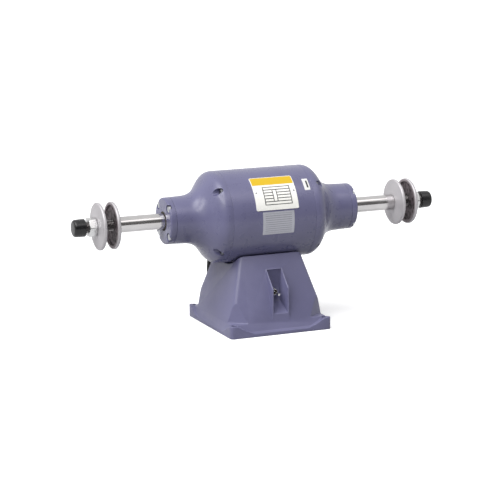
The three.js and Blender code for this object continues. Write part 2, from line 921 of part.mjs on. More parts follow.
function pedestalOutline(height, halfX, halfY, corner) {
  return roundedRectangle(halfX, halfY, corner).map(([x, y]) => [x, y, height]);
}

function pedestalSkin() {
  const top = shaftHeight - motorRadius / 2;
  return lofted([
    pedestalOutline(0, baseHalfX, baseHalfY, baseCorner),
    pedestalOutline(skirtHeight, baseHalfX, baseHalfY, baseCorner),
    pedestalOutline(slopeFootHeight, faceHalfX(slopeFootHeight), faceHalfY(slopeFootHeight), neckCorner),
    pedestalOutline(top, faceHalfX(top), faceHalfY(top), neckCorner),
  ]);
}

// Blocks that take off the four corners down to an inset from the base's corner
function cornerCutters(inset, fromZ, toZ) {
  const width = baseHalfX + baseHalfY;
  const from = cornerDistance - inset;
  return lugWallAngles.map((angle) =>
    block(from, from + width, -width, width, fromZ, toZ).rotateZ(angle));
}

function pedestalHollow() {
  const top = shaftHeight - motorRadius / 2;
  const foot = [hollowFootHalfX, hollowFootHalfY];
  const hollow = lofted([
    pedestalOutline(-cutOverrun, ...foot, neckCorner),
    pedestalOutline(slopeFootHeight, ...foot, neckCorner),
    pedestalOutline(top, faceHalfX(top) - castingWall, faceHalfY(top) - castingWall, neckCorner),
  ]);
  const roof = rodX(saddleRadius + saddleRoof, -baseHalfX, baseHalfX, saddleFacets)
    .translate(0, 0, shaftHeight);
  const corners = cornerCutters(lugWallInset + castingWall, -2 * cutOverrun, top + cutOverrun);
  return cut(hollow, roof, ...corners, pocketBlock(), cordBoss());
}

function lugs() {
  const step = (half) => ([alongShare, heightShare]) => [
    half - alongShare * lugLength,
    skirtHeight + heightShare * (lugHeight - skirtHeight),
  ];
  const outline = (half) => {
    const right = lugShares.map(step(half)).reverse();
    const left = lugShares.map(step(half)).map(([along, height]) => [-along, height]);
    return [[-half, 0], ...left, ...right, [half, 0]];
  };
  const acrossX = prismY(outline(baseHalfX), baseHalfY);
  const acrossY = prismX(outline(baseHalfY), -baseHalfX, baseHalfX);
  const footprint = lofted([
    pedestalOutline(0, baseHalfX, baseHalfY, baseCorner),
    pedestalOutline(lugHeight + cutOverrun, baseHalfX, baseHalfY, baseCorner),
  ]);
  return common(common(acrossX, acrossY), footprint);
}

function hood() {
  const outline = [
    [-hoodReach + hoodRoot, hoodFootHeight],
    [-hoodReach, hoodFootHeight],
    [-hoodReach, hoodShoulderHeight],
    [pocketPoint(pocketBackShares.at(-1))[0] + hoodWall / 2, hoodTopHeight],
    [-hoodReach + hoodRoot + pocketWall + hoodWall, hoodTopHeight],
  ];
  return prismX(
    outline,
    pocketMiddleX - pocketHalfWidth - hoodWall,
    pocketMiddleX + pocketHalfWidth + hoodWall,
  );
}

function pocketCutter() {
  const front = -hoodReach - cutOverrun;
  const back = pocketBackShares.map(pocketPoint);
  const outline = [[front, pocketSillHeight], [-hoodReach, pocketSillHeight], ...back];
  outline.push([front, pocketTopHeight]);
  return prismX(outline, pocketMiddleX - pocketHalfWidth, pocketMiddleX + pocketHalfWidth);
}

// What the pedestal keeps round the pocket, inside
function pocketBlock() {
  const front = -hoodReach - cutOverrun;
  const back = pocketBackShares.map(pocketPoint).map(([y, z]) => [y + pocketWall, z]);
  const outline = [
    [front, pocketSillHeight - pocketWall],
    [back[0][0], back[0][1] - pocketWall],
    ...back.slice(1),
    [front, pocketTopHeight + pocketWall],
  ];
  return prismX(
    outline,
    pocketMiddleX - pocketHalfWidth - pocketWall,
    pocketMiddleX + pocketHalfWidth + pocketWall,
  );
}

function cordBoss() {
  const root = faceHalfY(cordExitHeight) - castingWall;
  return rodY(cordBossRadius, root, cordBossReach)
    .translate(cordExitX, 0, cordExitHeight);
}

function motorPads() {
  const low = shaftHeight - saddleRadius - saddleRoof / 2;
  return [-1, 1].map((side) => block(
    side * padMiddle - padLength / 2,
    side * padMiddle + padLength / 2,
    -padHalfWidth,
    padHalfWidth,
    low,
    shaftHeight - motorRadius / 2,
  ));
}

function bottomRecess() {
  const halfX = hollowFootHalfX + coverLedge;
  const halfY = hollowFootHalfY + coverLedge;
  const corners = cornerCutters(coverCornerInset, -2 * cutOverrun, coverRecess + cutOverrun);
  return cut(block(-halfX, halfX, -halfY, halfY, -cutOverrun, coverRecess), ...corners);
}

function pedestal() {
  const saddle = rodX(saddleRadius, -baseHalfX, baseHalfX, saddleFacets).translate(0, 0, shaftHeight);
  const padSeat = rodX(motorRadius + seatGap, -baseHalfX, baseHalfX, saddleFacets)
    .translate(0, 0, shaftHeight);
  const skin = join(pedestalSkin(), hood(), cordBoss());
  const shaped = cut(skin, saddle, ...cornerCutters(lugWallInset, lugHeight, shaftHeight));
  const hollowed = cut(join(shaped, lugs()), pedestalHollow());
  const pads = motorPads().map((pad) => cut(pad, padSeat));
  const lugHoles = quarters.map(([sideX, sideY]) =>
    rodZ(lugHoleRadius, -cutOverrun, lugHeight + cutOverrun)
      .translate(sideX * (baseHalfX - lugHoleInsetX), sideY * (baseHalfY - lugHoleInsetY), 0));
  const screwHoles = coverScrewPlaces.map((place) =>
    rodZ(coverScrewRadius + seatGap, 0, coverRecess + coverScrewLength, holeFacets)
      .translate(...place, 0));
  const motorBoltHoles = [-1, 1].map((side) =>
    rodZ(motorBoltRadius + seatGap, shaftHeight - saddleRadius - 2 * saddleRoof, shaftHeight, holeFacets)
      .translate(side * padMiddle, 0, 0));
  const reliefHole = rodY(reliefNeckRadius + seatGap, 0, baseHalfY)
    .translate(cordExitX, 0, cordExitHeight);
  return cut(
    join(hollowed, ...pads),
    pocketCutter(),
    bottomRecess(),
    switchHole(),
    reliefHole,
    ...lugHoles,
    ...screwHoles,
    ...motorBoltHoles,
  );
}

function bottomCover() {
  const halfX = hollowFootHalfX + coverLedge - seatGap;
  const halfY = hollowFootHalfY + coverLedge - seatGap;
  const top = coverRecess - seatGap;
  const corners = cornerCutters(coverCornerInset + seatGap, -cutOverrun, coverRecess + cutOverrun);
  const sheet = cut(block(-halfX, halfX, -halfY, halfY, top - coverSheet, top), ...corners);
  const holes = coverScrewPlaces.map((place) =>
    rodZ(coverScrewRadius + seatGap, 0, coverRecess, holeFacets).translate(...place, 0));
  return cut(sheet, ...holes);
}

function coverScrews() {
  const headTop = coverRecess - seatGap - coverSheet - seatGap / 2;
  return coverScrewPlaces.map((place, index) => {
    const screw = turned([
      [headTop - coverScrewHeadHeight, 0],
      [headTop - coverScrewHeadHeight, coverScrewHeadRadius],
      [headTop, coverScrewHeadRadius],
      [headTop, coverScrewRadius],
      [coverRecess + coverScrewLength - seatGap, coverScrewRadius],
      [coverRecess + coverScrewLength - seatGap, 0],
    ], holeFacets);
    screw.rotateY(-Math.PI / 2).translate(...place, 0);
    return part(`bottom_cover_screw_${index + 1}`, screw, zinc);
  });
}

function motorBolts() {
  const roofFace = shaftHeight - saddleRadius - saddleRoof;
  const tipHeight = shaftHeight - shellBoreRadius;
  return [-1, 1].map((side, index) => {
    const bolt = hexScrew(
      -roofFace,
      motorBoltHeadAcrossFlats,
      motorBoltHeadHeight,
      motorBoltRadius,
      tipHeight - roofFace,
    ).rotateY(Math.PI / 2);
    return part(`motor_bolt_${index + 1}`, bolt.translate(side * padMiddle, 0, 0), zinc);
  });
}

// Toggle switch, drawn along -X out of the pocket's back wall, then turned to face the front

function switchFacet() {
  const [low, high] = pocketBackShares.slice(1, 3).map(pocketPoint);
  const share = (switchHeight - low[1]) / (high[1] - low[1]);
  return {
    y: low[0] + share * (high[0] - low[0]),
    tilt: Math.atan2(high[0] - low[0], high[1] - low[1]),
  };
}

function facingFront(geometry) {
  const { y, tilt } = switchFacet();
  return geometry.rotateZ(-Math.PI / 2).rotateX(-tilt).translate(pocketMiddleX, y, switchHeight);
}

function switchHole() {
  return facingFront(rodX(bushingRadius + seatGap, -3 * pocketWall, pocketWall));
}

function toggleSwitch() {
  const wallBack = -pocketWall - seatGap;
  const halfWidth = switchBodyWidth / 2;
  const halfHeight = switchBodyHeight / 2;
  const body = block(wallBack - switchBodyDepth, wallBack, -halfWidth, halfWidth, -halfHeight, halfHeight);
  const bushing = rodX(bushingRadius, wallBack - switchBodyDepth / 2, bushingReach);
  const bore = rodX(bushingBoreRadius, bushingReach - bushingBoreDepth, bushingReach + cutOverrun);
  return facingFront(cut(join(body, bushing), bore));
}

function switchNut() {
  const hex = hexX(switchNutAcrossFlats, seatGap, seatGap + switchNutHeight);
  return facingFront(cut(hex, rodX(bushingRadius + seatGap, -cutOverrun, 2 * switchNutHeight)));
}

function switchLever() {
  const profile = leverShares.map(([alongShare, radiusShare]) => [
    -alongShare * leverLength,
    radiusShare * leverBallRadius,
  ]);
  const lever = turned(profile, smallFacets).rotateY(leverRest);
  return facingFront(lever.translate(leverPivotReach, 0, 0));
}

// Start capacitor

function capacitorMiddle() {
  return coverRecess + capacitorRadius;
}

function capacitorY() {
  const strapHalf = capacitorRadius + seatGap + strapSheet + strapFoot;
  return hollowFootHalfY - capacitorWallGap - strapHalf;
}

function startCapacitor() {
  const half = capacitorLength / 2;
  const can = turned([
    [-half, 0],
    [-half, capacitorRadius - capacitorRim],
    [-half + capacitorRim, capacitorRadius],
    [half - capacitorRim, capacitorRadius],
    [half, capacitorRadius - capacitorRim],
    [half, 0],
  ], smallFacets);
  return can.translate(0, capacitorY(), capacitorMiddle());
}

function capacitorStrap() {
  const inner = capacitorRadius + seatGap;
  const outer = inner + strapSheet;
  const floor = coverRecess - capacitorMiddle();
  const arc = (radius) => Array.from({ length: strapSteps + 1 }, (_, step) => {
    const angle = (Math.PI * step) / strapSteps;
    return [radius * Math.cos(angle), radius * Math.sin(angle)];
  });
  const outline = [
    [inner, floor],
    [outer + strapFoot, floor],
    [outer + strapFoot, floor + strapSheet],
    [outer, floor + strapSheet],
    ...arc(outer),
    [-outer, floor + strapSheet],
    [-outer - strapFoot, floor + strapSheet],
    [-outer - strapFoot, floor],
    [-inner, floor],
    ...arc(inner).reverse(),
  ];
  return prismX(outline, -strapWidth / 2, strapWidth / 2).translate(0, capacitorY(), capacitorMiddle());
}

// Supply cord

function strainRelief() {
  const wallFace = faceHalfY(cordExitHeight) - castingWall;
  const collarFace = cordBossReach + seatGap;
  const tip = collarFace + reliefLength;
  return turned([
    [wallFace, 0],
    [wallFace, reliefNeckRadius],
    [collarFace, reliefNeckRadius],
    [collarFace, reliefCollarRadius],
    [collarFace + reliefCollarLength, reliefCollarRadius],
    [collarFace + reliefCollarLength, reliefRootRadius],
    [tip, reliefTipRadius],
    [tip, 0],
  ], smallFacets).rotateZ(Math.PI / 2).translate(cordExitX, 0, cordExitHeight);
}

function cordRun() {
  const points = cordRoute.map((place) => new THREE.Vector3(...place));
  const curve = new THREE.CatmullRomCurve3(points, false, "centripetal");
  return tubeAlong(curve, cordRadius, cordSides, cordSteps);
}

// Centre line of the coil: it winds in on the bench, climbs a layer in half a turn, winds out on top,
// and in its last quarter turn swings clear of the coil and comes down to the bench again
function coilPlace(turn) {
  const fromReversal = Math.abs(Math.min(turn, coilTurns) - coilTurns / 2);
  const tail = Math.max(turn - coilTurns, 0) / coilTailTurns;
  const swing = coilTailSwing * THREE.MathUtils.smoothstep(tail, 0, 1);
  const radius = coilOuterRadius - coilPitch * (coilTurns / 2 - fromReversal) + swing;
  const climb = THREE.MathUtils.smoothstep(turn, coilTurns / 2 - 1 / 4, coilTurns / 2 + 1 / 4);
  const drop = THREE.MathUtils.smoothstep(tail, coilTailDropShare, 1);
  const angle = 2 * Math.PI * turn - Math.PI / 2;
  return new THREE.Vector3(
    coilMiddleX + radius * Math.cos(angle),
    coilMiddleY + radius * Math.sin(angle),
    cordRadius + coilBenchGap + coilPitch * climb + (plugHalfHeight - cordRadius - coilPitch) * drop,
  );
}

function coilCentreLine() {
  const steps = (coilTurns + coilTailTurns) * coilStepsPerTurn;
  const loops = Array.from({ length: steps + 1 }, (_, step) => coilPlace(step / coilStepsPerTurn));
  const leadIn = loops[0].clone().setX(coilMiddleX - cordDiameter);
  const leadOut = loops.at(-1).clone().setY(coilMiddleY + cordDiameter);
  return [leadIn, ...loops, leadOut];
}

// Rings of points square to the centre line, skinned into one unbroken tube
function coil() {
  const line = coilCentreLine();
  const up = new THREE.Vector3(0, 0, 1);
  const rings = line.map((place, index) => {
    const before = line[Math.max(index - 1, 0)];
    const after = line[Math.min(index + 1, line.length - 1)];
    const along = after.clone().sub(before).normalize();
    const across = along.clone().cross(up).normalize();
    const rise = across.clone().cross(along);
    return Array.from({ length: coilSides }, (_, side) => {
      const angle = (2 * Math.PI * (side + 1 / 2)) / coilSides;
      const offset = across.clone().multiplyScalar(cordRadius * Math.cos(angle));
      offset.addScaledVector(rise, cordRadius * Math.sin(angle));
      return place.clone().add(offset).toArray();
    });
  });
  return lofted(rings);
}

// Least gap between stretches of the coil that lie more than half a turn apart
function coilSelfGap() {
  const perTurn = 4 * coilStepsPerTurn;
  const steps = (coilTurns + coilTailTurns) * perTurn;
  const places = Array.from({ length: steps + 1 }, (_, step) => coilPlace(step / perTurn));
  let least = Infinity;
  places.forEach((place, index) => {
    for (let other = index + perTurn / 2; other < places.length; other += 1) {
      least = Math.min(least, place.distanceTo(places[other]));
    }
  });
  return least - cordDiameter;
}

function plug() {
  const line = coilCentreLine().at(-1);
  const section = (along, halfWidth, halfHeight, corner) =>
    roundedRectangle(halfWidth, halfHeight, corner).map(([x, z]) => [along, x, z]);
  const body = lofted([
    section(0, plugNeckRadius, plugNeckRadius, plugNeckRadius / 2),
    section(plugNeckLength, plugNeckRadius, plugNeckRadius, plugNeckRadius / 2),
    section(plugNeckLength + plugCorner, plugWidth / 2 - plugCorner / 2, plugHalfHeight, plugCorner),
    section(plugLength, plugWidth / 2, plugHalfHeight, plugCorner),
  ]);
  const bladeEnd = plugLength + bladeLength;
  const blades = [-1, 1].map((side) => block(
    plugLength - cutOverrun,
    bladeEnd,
    (side * bladeSpacing) / 2 - bladeSheet / 2,
    (side * bladeSpacing) / 2 + bladeSheet / 2,
    groundPinDrop - bladeWidth,
    groundPinDrop,
  ));
  const ground = rodX(groundPinRadius, plugLength - cutOverrun, bladeEnd + groundPinRadius, bossFacets)
    .translate(0, 0, -groundPinDrop);
  return join(body, ...blades, ground).rotateZ(Math.PI / 2)
    .translate(line.x, line.y + seatGap, line.z);
}

// The whole machine

const machine = new THREE.Group();

ends.forEach(({ side, turn }) => {
  const washerSpace = side === "right" ? 2 * washerWave + washerSheet + seatGap : 0;
  const shoulderReach = bearingBackReach - seatGap - washerSpace;
  machine.add(onAxis(
    turn,
    part(`${side}_end_bell`, endBell(shoulderReach), painted),
    part(`${side}_bearing_cap`, bearingCap(), painted),
    ...capScrews(side),
    part(`${side}_bearing_outer_race`, race(bearingOuterRadius, 1), steel),
    part(`${side}_bearing_inner_race`, race(bearingBoreRadius, -1), steel),
    part(`${side}_bearing_balls_in_cage`, ballsInCage(), steel),
    part(`${side}_threaded_end`, threadedEnd(), steel),
    part(`${side}_inner_flange`, wheelFlange(innerFlangeRimReach, 1), castMetal),
    part(`${side}_clamp_flange`, wheelFlange(outerFlangeRimReach, -1), castMetal),
    part(`${side}_clamp_nut`, clampNut(), zinc),
    part(`${side}_tip_cap`, tipCap(), blackRubber),
  ));
  if (washerSpace > 0) {
    machine.add(onAxis(turn, part("bearing_wave_washer", waveWasher(shoulderReach), steel)));
  }
});

machine.add(
  onAxis(
    0,
    part("motor_shell", motorShell(), painted),
    ...throughBolts(),
    part("stator_core", statorCore(), lamination),
    part("stator_winding", statorWinding(), copper),
    part("rotor", rotor(), lamination),
    part("shaft", shaft(), steel),
    part("nameplate", nameplate(), plateWhite),
  ),
  part("pedestal", pedestal(), painted),
  part("bottom_cover", bottomCover(), zinc),
  ...coverScrews(),
  ...motorBolts(),
  part("toggle_switch", toggleSwitch(), brownPhenolic),
  part("switch_nut", switchNut(), zinc),
  part("switch_lever", switchLever(), zinc),
  part("start_capacitor", startCapacitor(), capacitorBlack),
  part("capacitor_strap", capacitorStrap(), zinc),
  part("cord_strain_relief", strainRelief(), blackRubber),
  part("supply_cord", cordRun(), blackRubber),
  part("supply_cord_coil", coil(), blackRubber),
  part("supply_plug", plug(), blackRubber),
);

console.log(`Least gap of the coil to itself: ${coilSelfGap().toFixed(2)} mm`);

export default machine;
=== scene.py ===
"""Finishes and fine surfaces of a double-ended bench polishing lathe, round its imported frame.

Lengths are metres, written as millimetres times MM. X runs along the spindle, the switch
faces -Y, Z is up, and the machine stands on the bench at Z = 0.
"""

import json
import logging
import math
from collections.abc import Iterable, Sequence
from dataclasses import dataclass
from enum import Enum, IntEnum

import bmesh
import bpy
import numpy as np
from mathutils import Matrix, Vector

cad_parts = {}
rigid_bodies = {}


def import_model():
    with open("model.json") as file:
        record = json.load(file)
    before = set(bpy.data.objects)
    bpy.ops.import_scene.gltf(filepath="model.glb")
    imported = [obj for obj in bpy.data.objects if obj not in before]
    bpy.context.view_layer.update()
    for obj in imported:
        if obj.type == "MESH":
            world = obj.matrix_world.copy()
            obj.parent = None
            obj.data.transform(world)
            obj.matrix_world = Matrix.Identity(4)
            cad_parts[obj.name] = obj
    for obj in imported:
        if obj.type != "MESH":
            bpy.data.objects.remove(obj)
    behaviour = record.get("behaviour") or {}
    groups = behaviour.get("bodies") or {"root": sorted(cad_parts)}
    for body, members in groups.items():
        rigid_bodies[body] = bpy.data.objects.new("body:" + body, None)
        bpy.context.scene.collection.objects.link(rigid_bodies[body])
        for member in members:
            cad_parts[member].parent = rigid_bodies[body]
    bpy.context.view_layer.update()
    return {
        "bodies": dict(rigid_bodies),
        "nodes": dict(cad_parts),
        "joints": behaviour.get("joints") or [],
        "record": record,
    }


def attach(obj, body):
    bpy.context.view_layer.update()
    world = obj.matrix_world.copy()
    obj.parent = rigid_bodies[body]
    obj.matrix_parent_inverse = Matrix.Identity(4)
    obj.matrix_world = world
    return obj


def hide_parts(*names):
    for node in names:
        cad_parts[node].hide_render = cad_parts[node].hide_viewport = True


MM = 0.001
AXIS = 204 * MM
MOTOR_RADIUS = 83.3 * MM
GAP = 0.3 * MM
WELD = 0.001 * MM
CREASE = 32.0
LOG = logging.getLogger("polishing_lathe")

Socket = bpy.types.NodeSocket
Value = float | tuple[float, ...] | Socket
Range = tuple[float, float]


class Body(Enum):
    """Moving bodies of the frame that new pieces ride on."""

    STAND = "stand"
    SPINDLE = "spindle"
    LEFT_FLANGE = "left_clamp_flange"
    RIGHT_FLANGE = "right_clamp_flange"
    LEFT_NUT = "left_clamp_nut"
    RIGHT_NUT = "right_clamp_nut"
    LEFT_TIP = "left_tip_cap"
    RIGHT_TIP = "right_tip_cap"
    LEVER = "switch_lever"


class Slot(Enum):
    """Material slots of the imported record."""

    PAINT = "painted_casting"
    STEEL = "polished_steel"
    FLANGE = "cast_flange_metal"
    ZINC = "zinc_plated_steel"
    LAMINATION = "lamination_steel"
    COPPER = "enamelled_copper"
    CORD = "black_cord_rubber"
    VINYL = "black_vinyl"
    PHENOLIC = "brown_phenolic"
    PLATE = "plate_aluminium"
    CAPACITOR = "capacitor_case"


class Side(IntEnum):
    """The two ends of the spindle, as the sign of their X."""

    LEFT = -1
    RIGHT = 1

    @property
    def word(self) -> str:
        """The side's word in node names."""
        return self.name.lower()


def linear(code: str) -> tuple[float, ...]:
    """Turns a screen colour into the shader's linear one.

    Args:
        code: Six hexadecimal digits, red, green and blue.

    Returns:
        Linear red, green, blue and an alpha of 1.
    """
    parts = [int(code[start : start + 2], 16) / 255 for start in (0, 2, 4)]
    bent = [part / 12.92 if part <= 0.04045 else ((part + 0.055) / 1.055) ** 2.4 for part in parts]
    return (*bent, 1.0)


class Graph:
    """The nodes of one material or world, added and linked by short calls."""

    def __init__(self, owner: bpy.types.Material | bpy.types.World, shader: str = "Principled BSDF") -> None:
        """Starts from the shader that the owner comes with."""
        owner.use_nodes = True
        self.owner = owner
        self.tree = owner.node_tree
        self.shader = self.tree.nodes[shader]

    def add(
        self, kind: str, inputs: dict[int | str, Value] | None = None, **settings: object
    ) -> bpy.types.Node:
        """Adds a node.

        Args:
            kind: The node's type, without its ShaderNode prefix.
            inputs: Constants and sockets for its inputs, by index or name.
            settings: Properties of the node.

        Returns:
            The new node.
        """
        made = self.tree.nodes.new("ShaderNode" + kind)
        for key, value in settings.items():
            setattr(made, key, value)
        for key, value in (inputs or {}).items():
            self.feed(made.inputs[key], value)
        return made

    def feed(self, target: Socket, value: Value) -> None:
        """Links a socket to an input, or sets the input's constant."""
        if isinstance(value, Socket):
            self.tree.links.new(value, target)
        else:
            target.default_value = value

    def dress(self, **inputs: Value) -> None:
        """Feeds the shader's inputs; underscores in a name stand for spaces."""
        for key, value in inputs.items():
            self.feed(self.shader.inputs[key.replace("_", " ")], value)

    def math(self, operation: str, *values: Value) -> Socket:
        """Adds a Math node and returns its result."""
        return self.add("Math", dict(enumerate(values)), operation=operation).outputs[0]

    def both(self, first: Value, second: Value) -> Socket:
        """1 where two marks are both 1, as their product."""
        return self.math("MULTIPLY", first, second)

    def near(self, value: Socket, middle: float, half: float) -> Socket:
        """1 where a value lies within half of the middle, else 0."""
        return self.math("COMPARE", value, middle, half)

    def inside(self, value: Socket, low: float, high: float) -> Socket:
        """1 where a value lies between low and high, else 0."""
        half = (high - low) / 2
        return self.near(value, low + half, half)

    def place(self) -> Socket:
        """The Object coordinates."""
        return self.add("TexCoord").outputs["Object"]

    def along(self) -> Socket:
        """The place along the spindle."""
        return self.add("SeparateXYZ", {0: self.place()}).outputs[0]

    def uv(self) -> Sequence[Socket]:
        """The two coordinates of the piece's own UV map, across and up, each from 0 to 1."""
        return self.add("SeparateXYZ", {0: self.add("TexCoord").outputs["UV"]}).outputs[:2]

    def from_axis(self) -> Socket:
        """The distance from the spindle's axis."""
        flat = self.add("Mapping", {"Vector": self.place(), "Location": (0, 0, -AXIS), "Scale": (0, 1, 1)})
        return self.add("VectorMath", {0: flat.outputs[0]}, operation="LENGTH").outputs["Value"]

    def noise(self, size: float, detail: float = 2.0) -> Socket:
        """Noise from 0 to 1 whose blots are about that size across, in metres."""
        return self.add("TexNoise", {"Vector": self.place(), "Scale": 1 / size, "Detail": detail}).outputs[0]

    def remap(self, value: Socket, low: float, high: float, start: float = 0.3, end: float = 0.7) -> Socket:
        """Carries a value from start..end to low..high and holds it there."""
        return self.add("MapRange", {0: value, 1: start, 2: end, 3: low, 4: high}).outputs[0]

    def mix(self, share: Value, first: Value, second: Value) -> Socket:
        """Mixes two colours."""
        return self.add("Mix", {0: share, 6: first, 7: second}, data_type="RGBA").outputs[2]

    def shade(self, colour: str, tones: Range, value: Socket) -> Socket:
        """A colour made darker and lighter between two factors by a value."""
        base = linear(colour)
        dark, light = ([min(channel * tone, 1.0) for channel in base[:3]] for tone in tones)
        return self.mix(self.remap(value, 0.0, 1.0), (*dark, 1.0), (*light, 1.0))

    def bump(self, height: Socket, depth: float) -> None:
        """Feeds a bump of that depth, in metres, to the shader's normal."""
        self.dress(Normal=self.add("Bump", {"Height": height, "Distance": depth}).outputs[0])


@dataclass(frozen=True)
class Finish:
    """What every finish has: its name and its slot in the record."""

    name: str
    slot: Slot

    def build(self) -> bpy.types.Material:
        """Makes the material."""
        g = Graph(bpy.data.materials.new(self.name))
        self.lay(g)
        return g.owner

    def lay(self, g: Graph) -> None:
        """Adds the nodes; each finish has its own way."""
        raise NotImplementedError


@dataclass(frozen=True)
class Paint(Finish):
    """Enamel over cast iron: orange peel, faint casting waves and a little cloudiness."""

    colour: str = "6a698a"
    tones: Range = (0.95, 1.05)
    cloud: float = 55 * MM
    peel: float = 1.1 * MM
    peel_depth: float = 0.006 * MM
    waves: float = 14 * MM
    waves_depth: float = 0.03 * MM
    roughness: Range = (0.25, 0.34)
    gloss_blot: float = 14 * MM
    coat: float = 0.2
    coat_roughness: float = 0.2

    def lay(self, g: Graph) -> None:
        """Cloudy colour, and a bump of fine peel on slower waves."""
        g.dress(
            Base_Color=g.shade(self.colour, self.tones, g.noise(self.cloud, 3)),
            Roughness=g.remap(g.noise(self.gloss_blot, 4), *self.roughness),
            Coat_Weight=self.coat,
            Coat_Roughness=self.coat_roughness,
        )
        peel = g.math("MULTIPLY", g.noise(self.peel), self.peel_depth / self.waves_depth)
        g.bump(g.math("ADD", peel, g.noise(self.waves)), self.waves_depth)


@dataclass(frozen=True)
class TurnedMetal(Finish):
    """Metal turned or ground about the spindle's axis, with rings that follow the tool."""

    colour: str = "cfcdcd"
    tones: Range = (0.93, 1.04)
    roughness: Range = (0.1, 0.18)
    smear: float = 20 * MM
    ring: float = 0.5 * MM
    ring_depth: float = 0.002 * MM
    along_axis: bool = True
    metallic: float = 1.0

    def lay(self, g: Graph) -> None:
        """Noise of one coordinate, the place along the axis or the distance from it, makes the rings."""
        travel = g.along() if self.along_axis else g.from_axis()
        rings = {"W": travel, "Scale": 1 / self.ring, "Detail": 3.0}
        smear = g.noise(self.smear, 3)
        g.dress(
            Base_Color=g.shade(self.colour, self.tones, smear),
            Metallic=self.metallic,
            Roughness=g.remap(smear, *self.roughness),
        )
        g.bump(g.add("TexNoise", rings, noise_dimensions="1D").outputs[0], self.ring_depth)


@dataclass(frozen=True)
class RoughCasting(Finish):
    """Bare rough-cast metal, as in the hollow side of a wheel flange."""

    colour: str = "857a7f"
    stain: str = "322c2f"
    stain_range: Range = (0.38, 0.62)
    rim_colour: str = "aaa1a5"
    rim_range: Range = (35.5 * MM, 37 * MM)
    rim_share: float = 0.8
    blot: float = 7 * MM
    grain: float = 1.8 * MM
    depth: float = 0.3 * MM
    roughness: Range = (0.5, 0.75)
    metallic: float = 0.4

    def lay(self, g: Graph) -> None:
        """Two sizes of noise roughen and stain the surface, which is lighter out at the rim."""
        grain = g.noise(self.grain, 5)
        stain = g.remap(g.noise(self.blot, 5), 0.0, 1.0, *self.stain_range)
        rim = g.remap(g.from_axis(), 0.0, self.rim_share, *self.rim_range)
        body = g.mix(stain, linear(self.stain), linear(self.colour))
        g.dress(
            Base_Color=g.mix(rim, body, linear(self.rim_colour)),
            Metallic=self.metallic,
            Roughness=g.remap(grain, *self.roughness),
        )
        g.bump(grain, self.depth)


@dataclass(frozen=True)
class Plating(Finish):
    """Zinc plate on small steel pieces, slightly mottled."""

    colour: str = "b4b6ba"
    tones: Range = (0.88, 1.05)
    roughness: Range = (0.2, 0.34)
    mottle: float = 1.5 * MM
    depth: float = 0.01 * MM

    def lay(self, g: Graph) -> None:
        """Fine mottling of the roughness and colour."""
        mottle = g.noise(self.mottle, 4)
        g.dress(
            Base_Color=g.shade(self.colour, self.tones, mottle),
            Metallic=1.0,
            Roughness=g.remap(mottle, *self.roughness),
        )
        g.bump(mottle, self.depth)


@dataclass(frozen=True)
class Moulding(Finish):
    """A moulded rubber or plastic with a fine grain."""

    colour: str
    roughness: Range
    tones: Range = (0.85, 1.25)
    bloom: float = 9 * MM
    grain: float = 0.5 * MM
    depth: float = 0.02 * MM

    def lay(self, g: Graph) -> None:
        """Fine grain with a faint bloom of larger patches."""
        bloom = g.noise(self.bloom, 3)
        g.dress(
            Base_Color=g.shade(self.colour, self.tones, bloom),
            Roughness=g.remap(bloom, *self.roughness),
        )
        g.bump(g.noise(self.grain, 3), self.depth)


@dataclass(frozen=True)
class Stack(Finish):
    """Steel laminations: thin sheets stacked along X, with a dark line between each two."""

    colour: str = "5d6064"
    joint_colour: str = "232426"
    tones: Range = (0.85, 1.15)
    blot: float = 6 * MM
    sheet: float = 0.65 * MM
    joint_share: float = 0.1
    depth: float = 0.05 * MM
    metallic: float = 0.7
    roughness: float = 0.45

    def lay(self, g: Graph) -> None:
        """X goes back and forth over half a sheet's thickness, and its low ends are the joints."""
        joint = g.math("PINGPONG", g.along(), self.sheet / 2)
        line = g.math("LESS_THAN", joint, self.joint_share * self.sheet)
        body = g.shade(self.colour, self.tones, g.noise(self.blot, 3))
        colour = g.mix(line, body, linear(self.joint_colour))
        g.dress(Base_Color=colour, Metallic=self.metallic, Roughness=self.roughness)
        g.bump(joint, self.depth)


@dataclass(frozen=True)
class Wire(Finish):
    """Enamelled copper turns under varnish, as fine ribs across the winding."""

    colour: str = "a35a2a"
    tones: Range = (0.55, 1.15)
    turn: float = 0.9 * MM
    waviness: float = 3.0
    depth: float = 0.2 * MM
    metallic: float = 0.6
    roughness: float = 0.35
    coat: float = 0.4

    def lay(self, g: Graph) -> None:
        """Slanting bands bent by noise stand for the turns."""
        bands = {"Vector": g.place(), "Scale": 1 / self.turn / 3, "Distortion": self.waviness, "Detail": 2.0}
        turns = g.add("TexWave", bands, bands_direction="DIAGONAL").outputs[1]
        g.dress(
            Base_Color=g.shade(self.colour, self.tones, turns),
            Metallic=self.metallic,
            Roughness=self.roughness,
            Coat_Weight=self.coat,
        )
        g.bump(turns, self.depth)


@dataclass(frozen=True)
class Print(Finish):
    """What the printed sheets share: a ground with faint blots and a slight grain."""

    ground: str
    tones: Range
    blot: float
    grain: float = 1 * MM
    depth: float = 0.004 * MM

    def base(self, g: Graph, detail: float = 3) -> Socket:
        """Feeds the grain and returns the ground's colour."""
        g.bump(g.noise(self.grain), self.depth)
        return g.shade(self.ground, self.tones, g.noise(self.blot, detail))


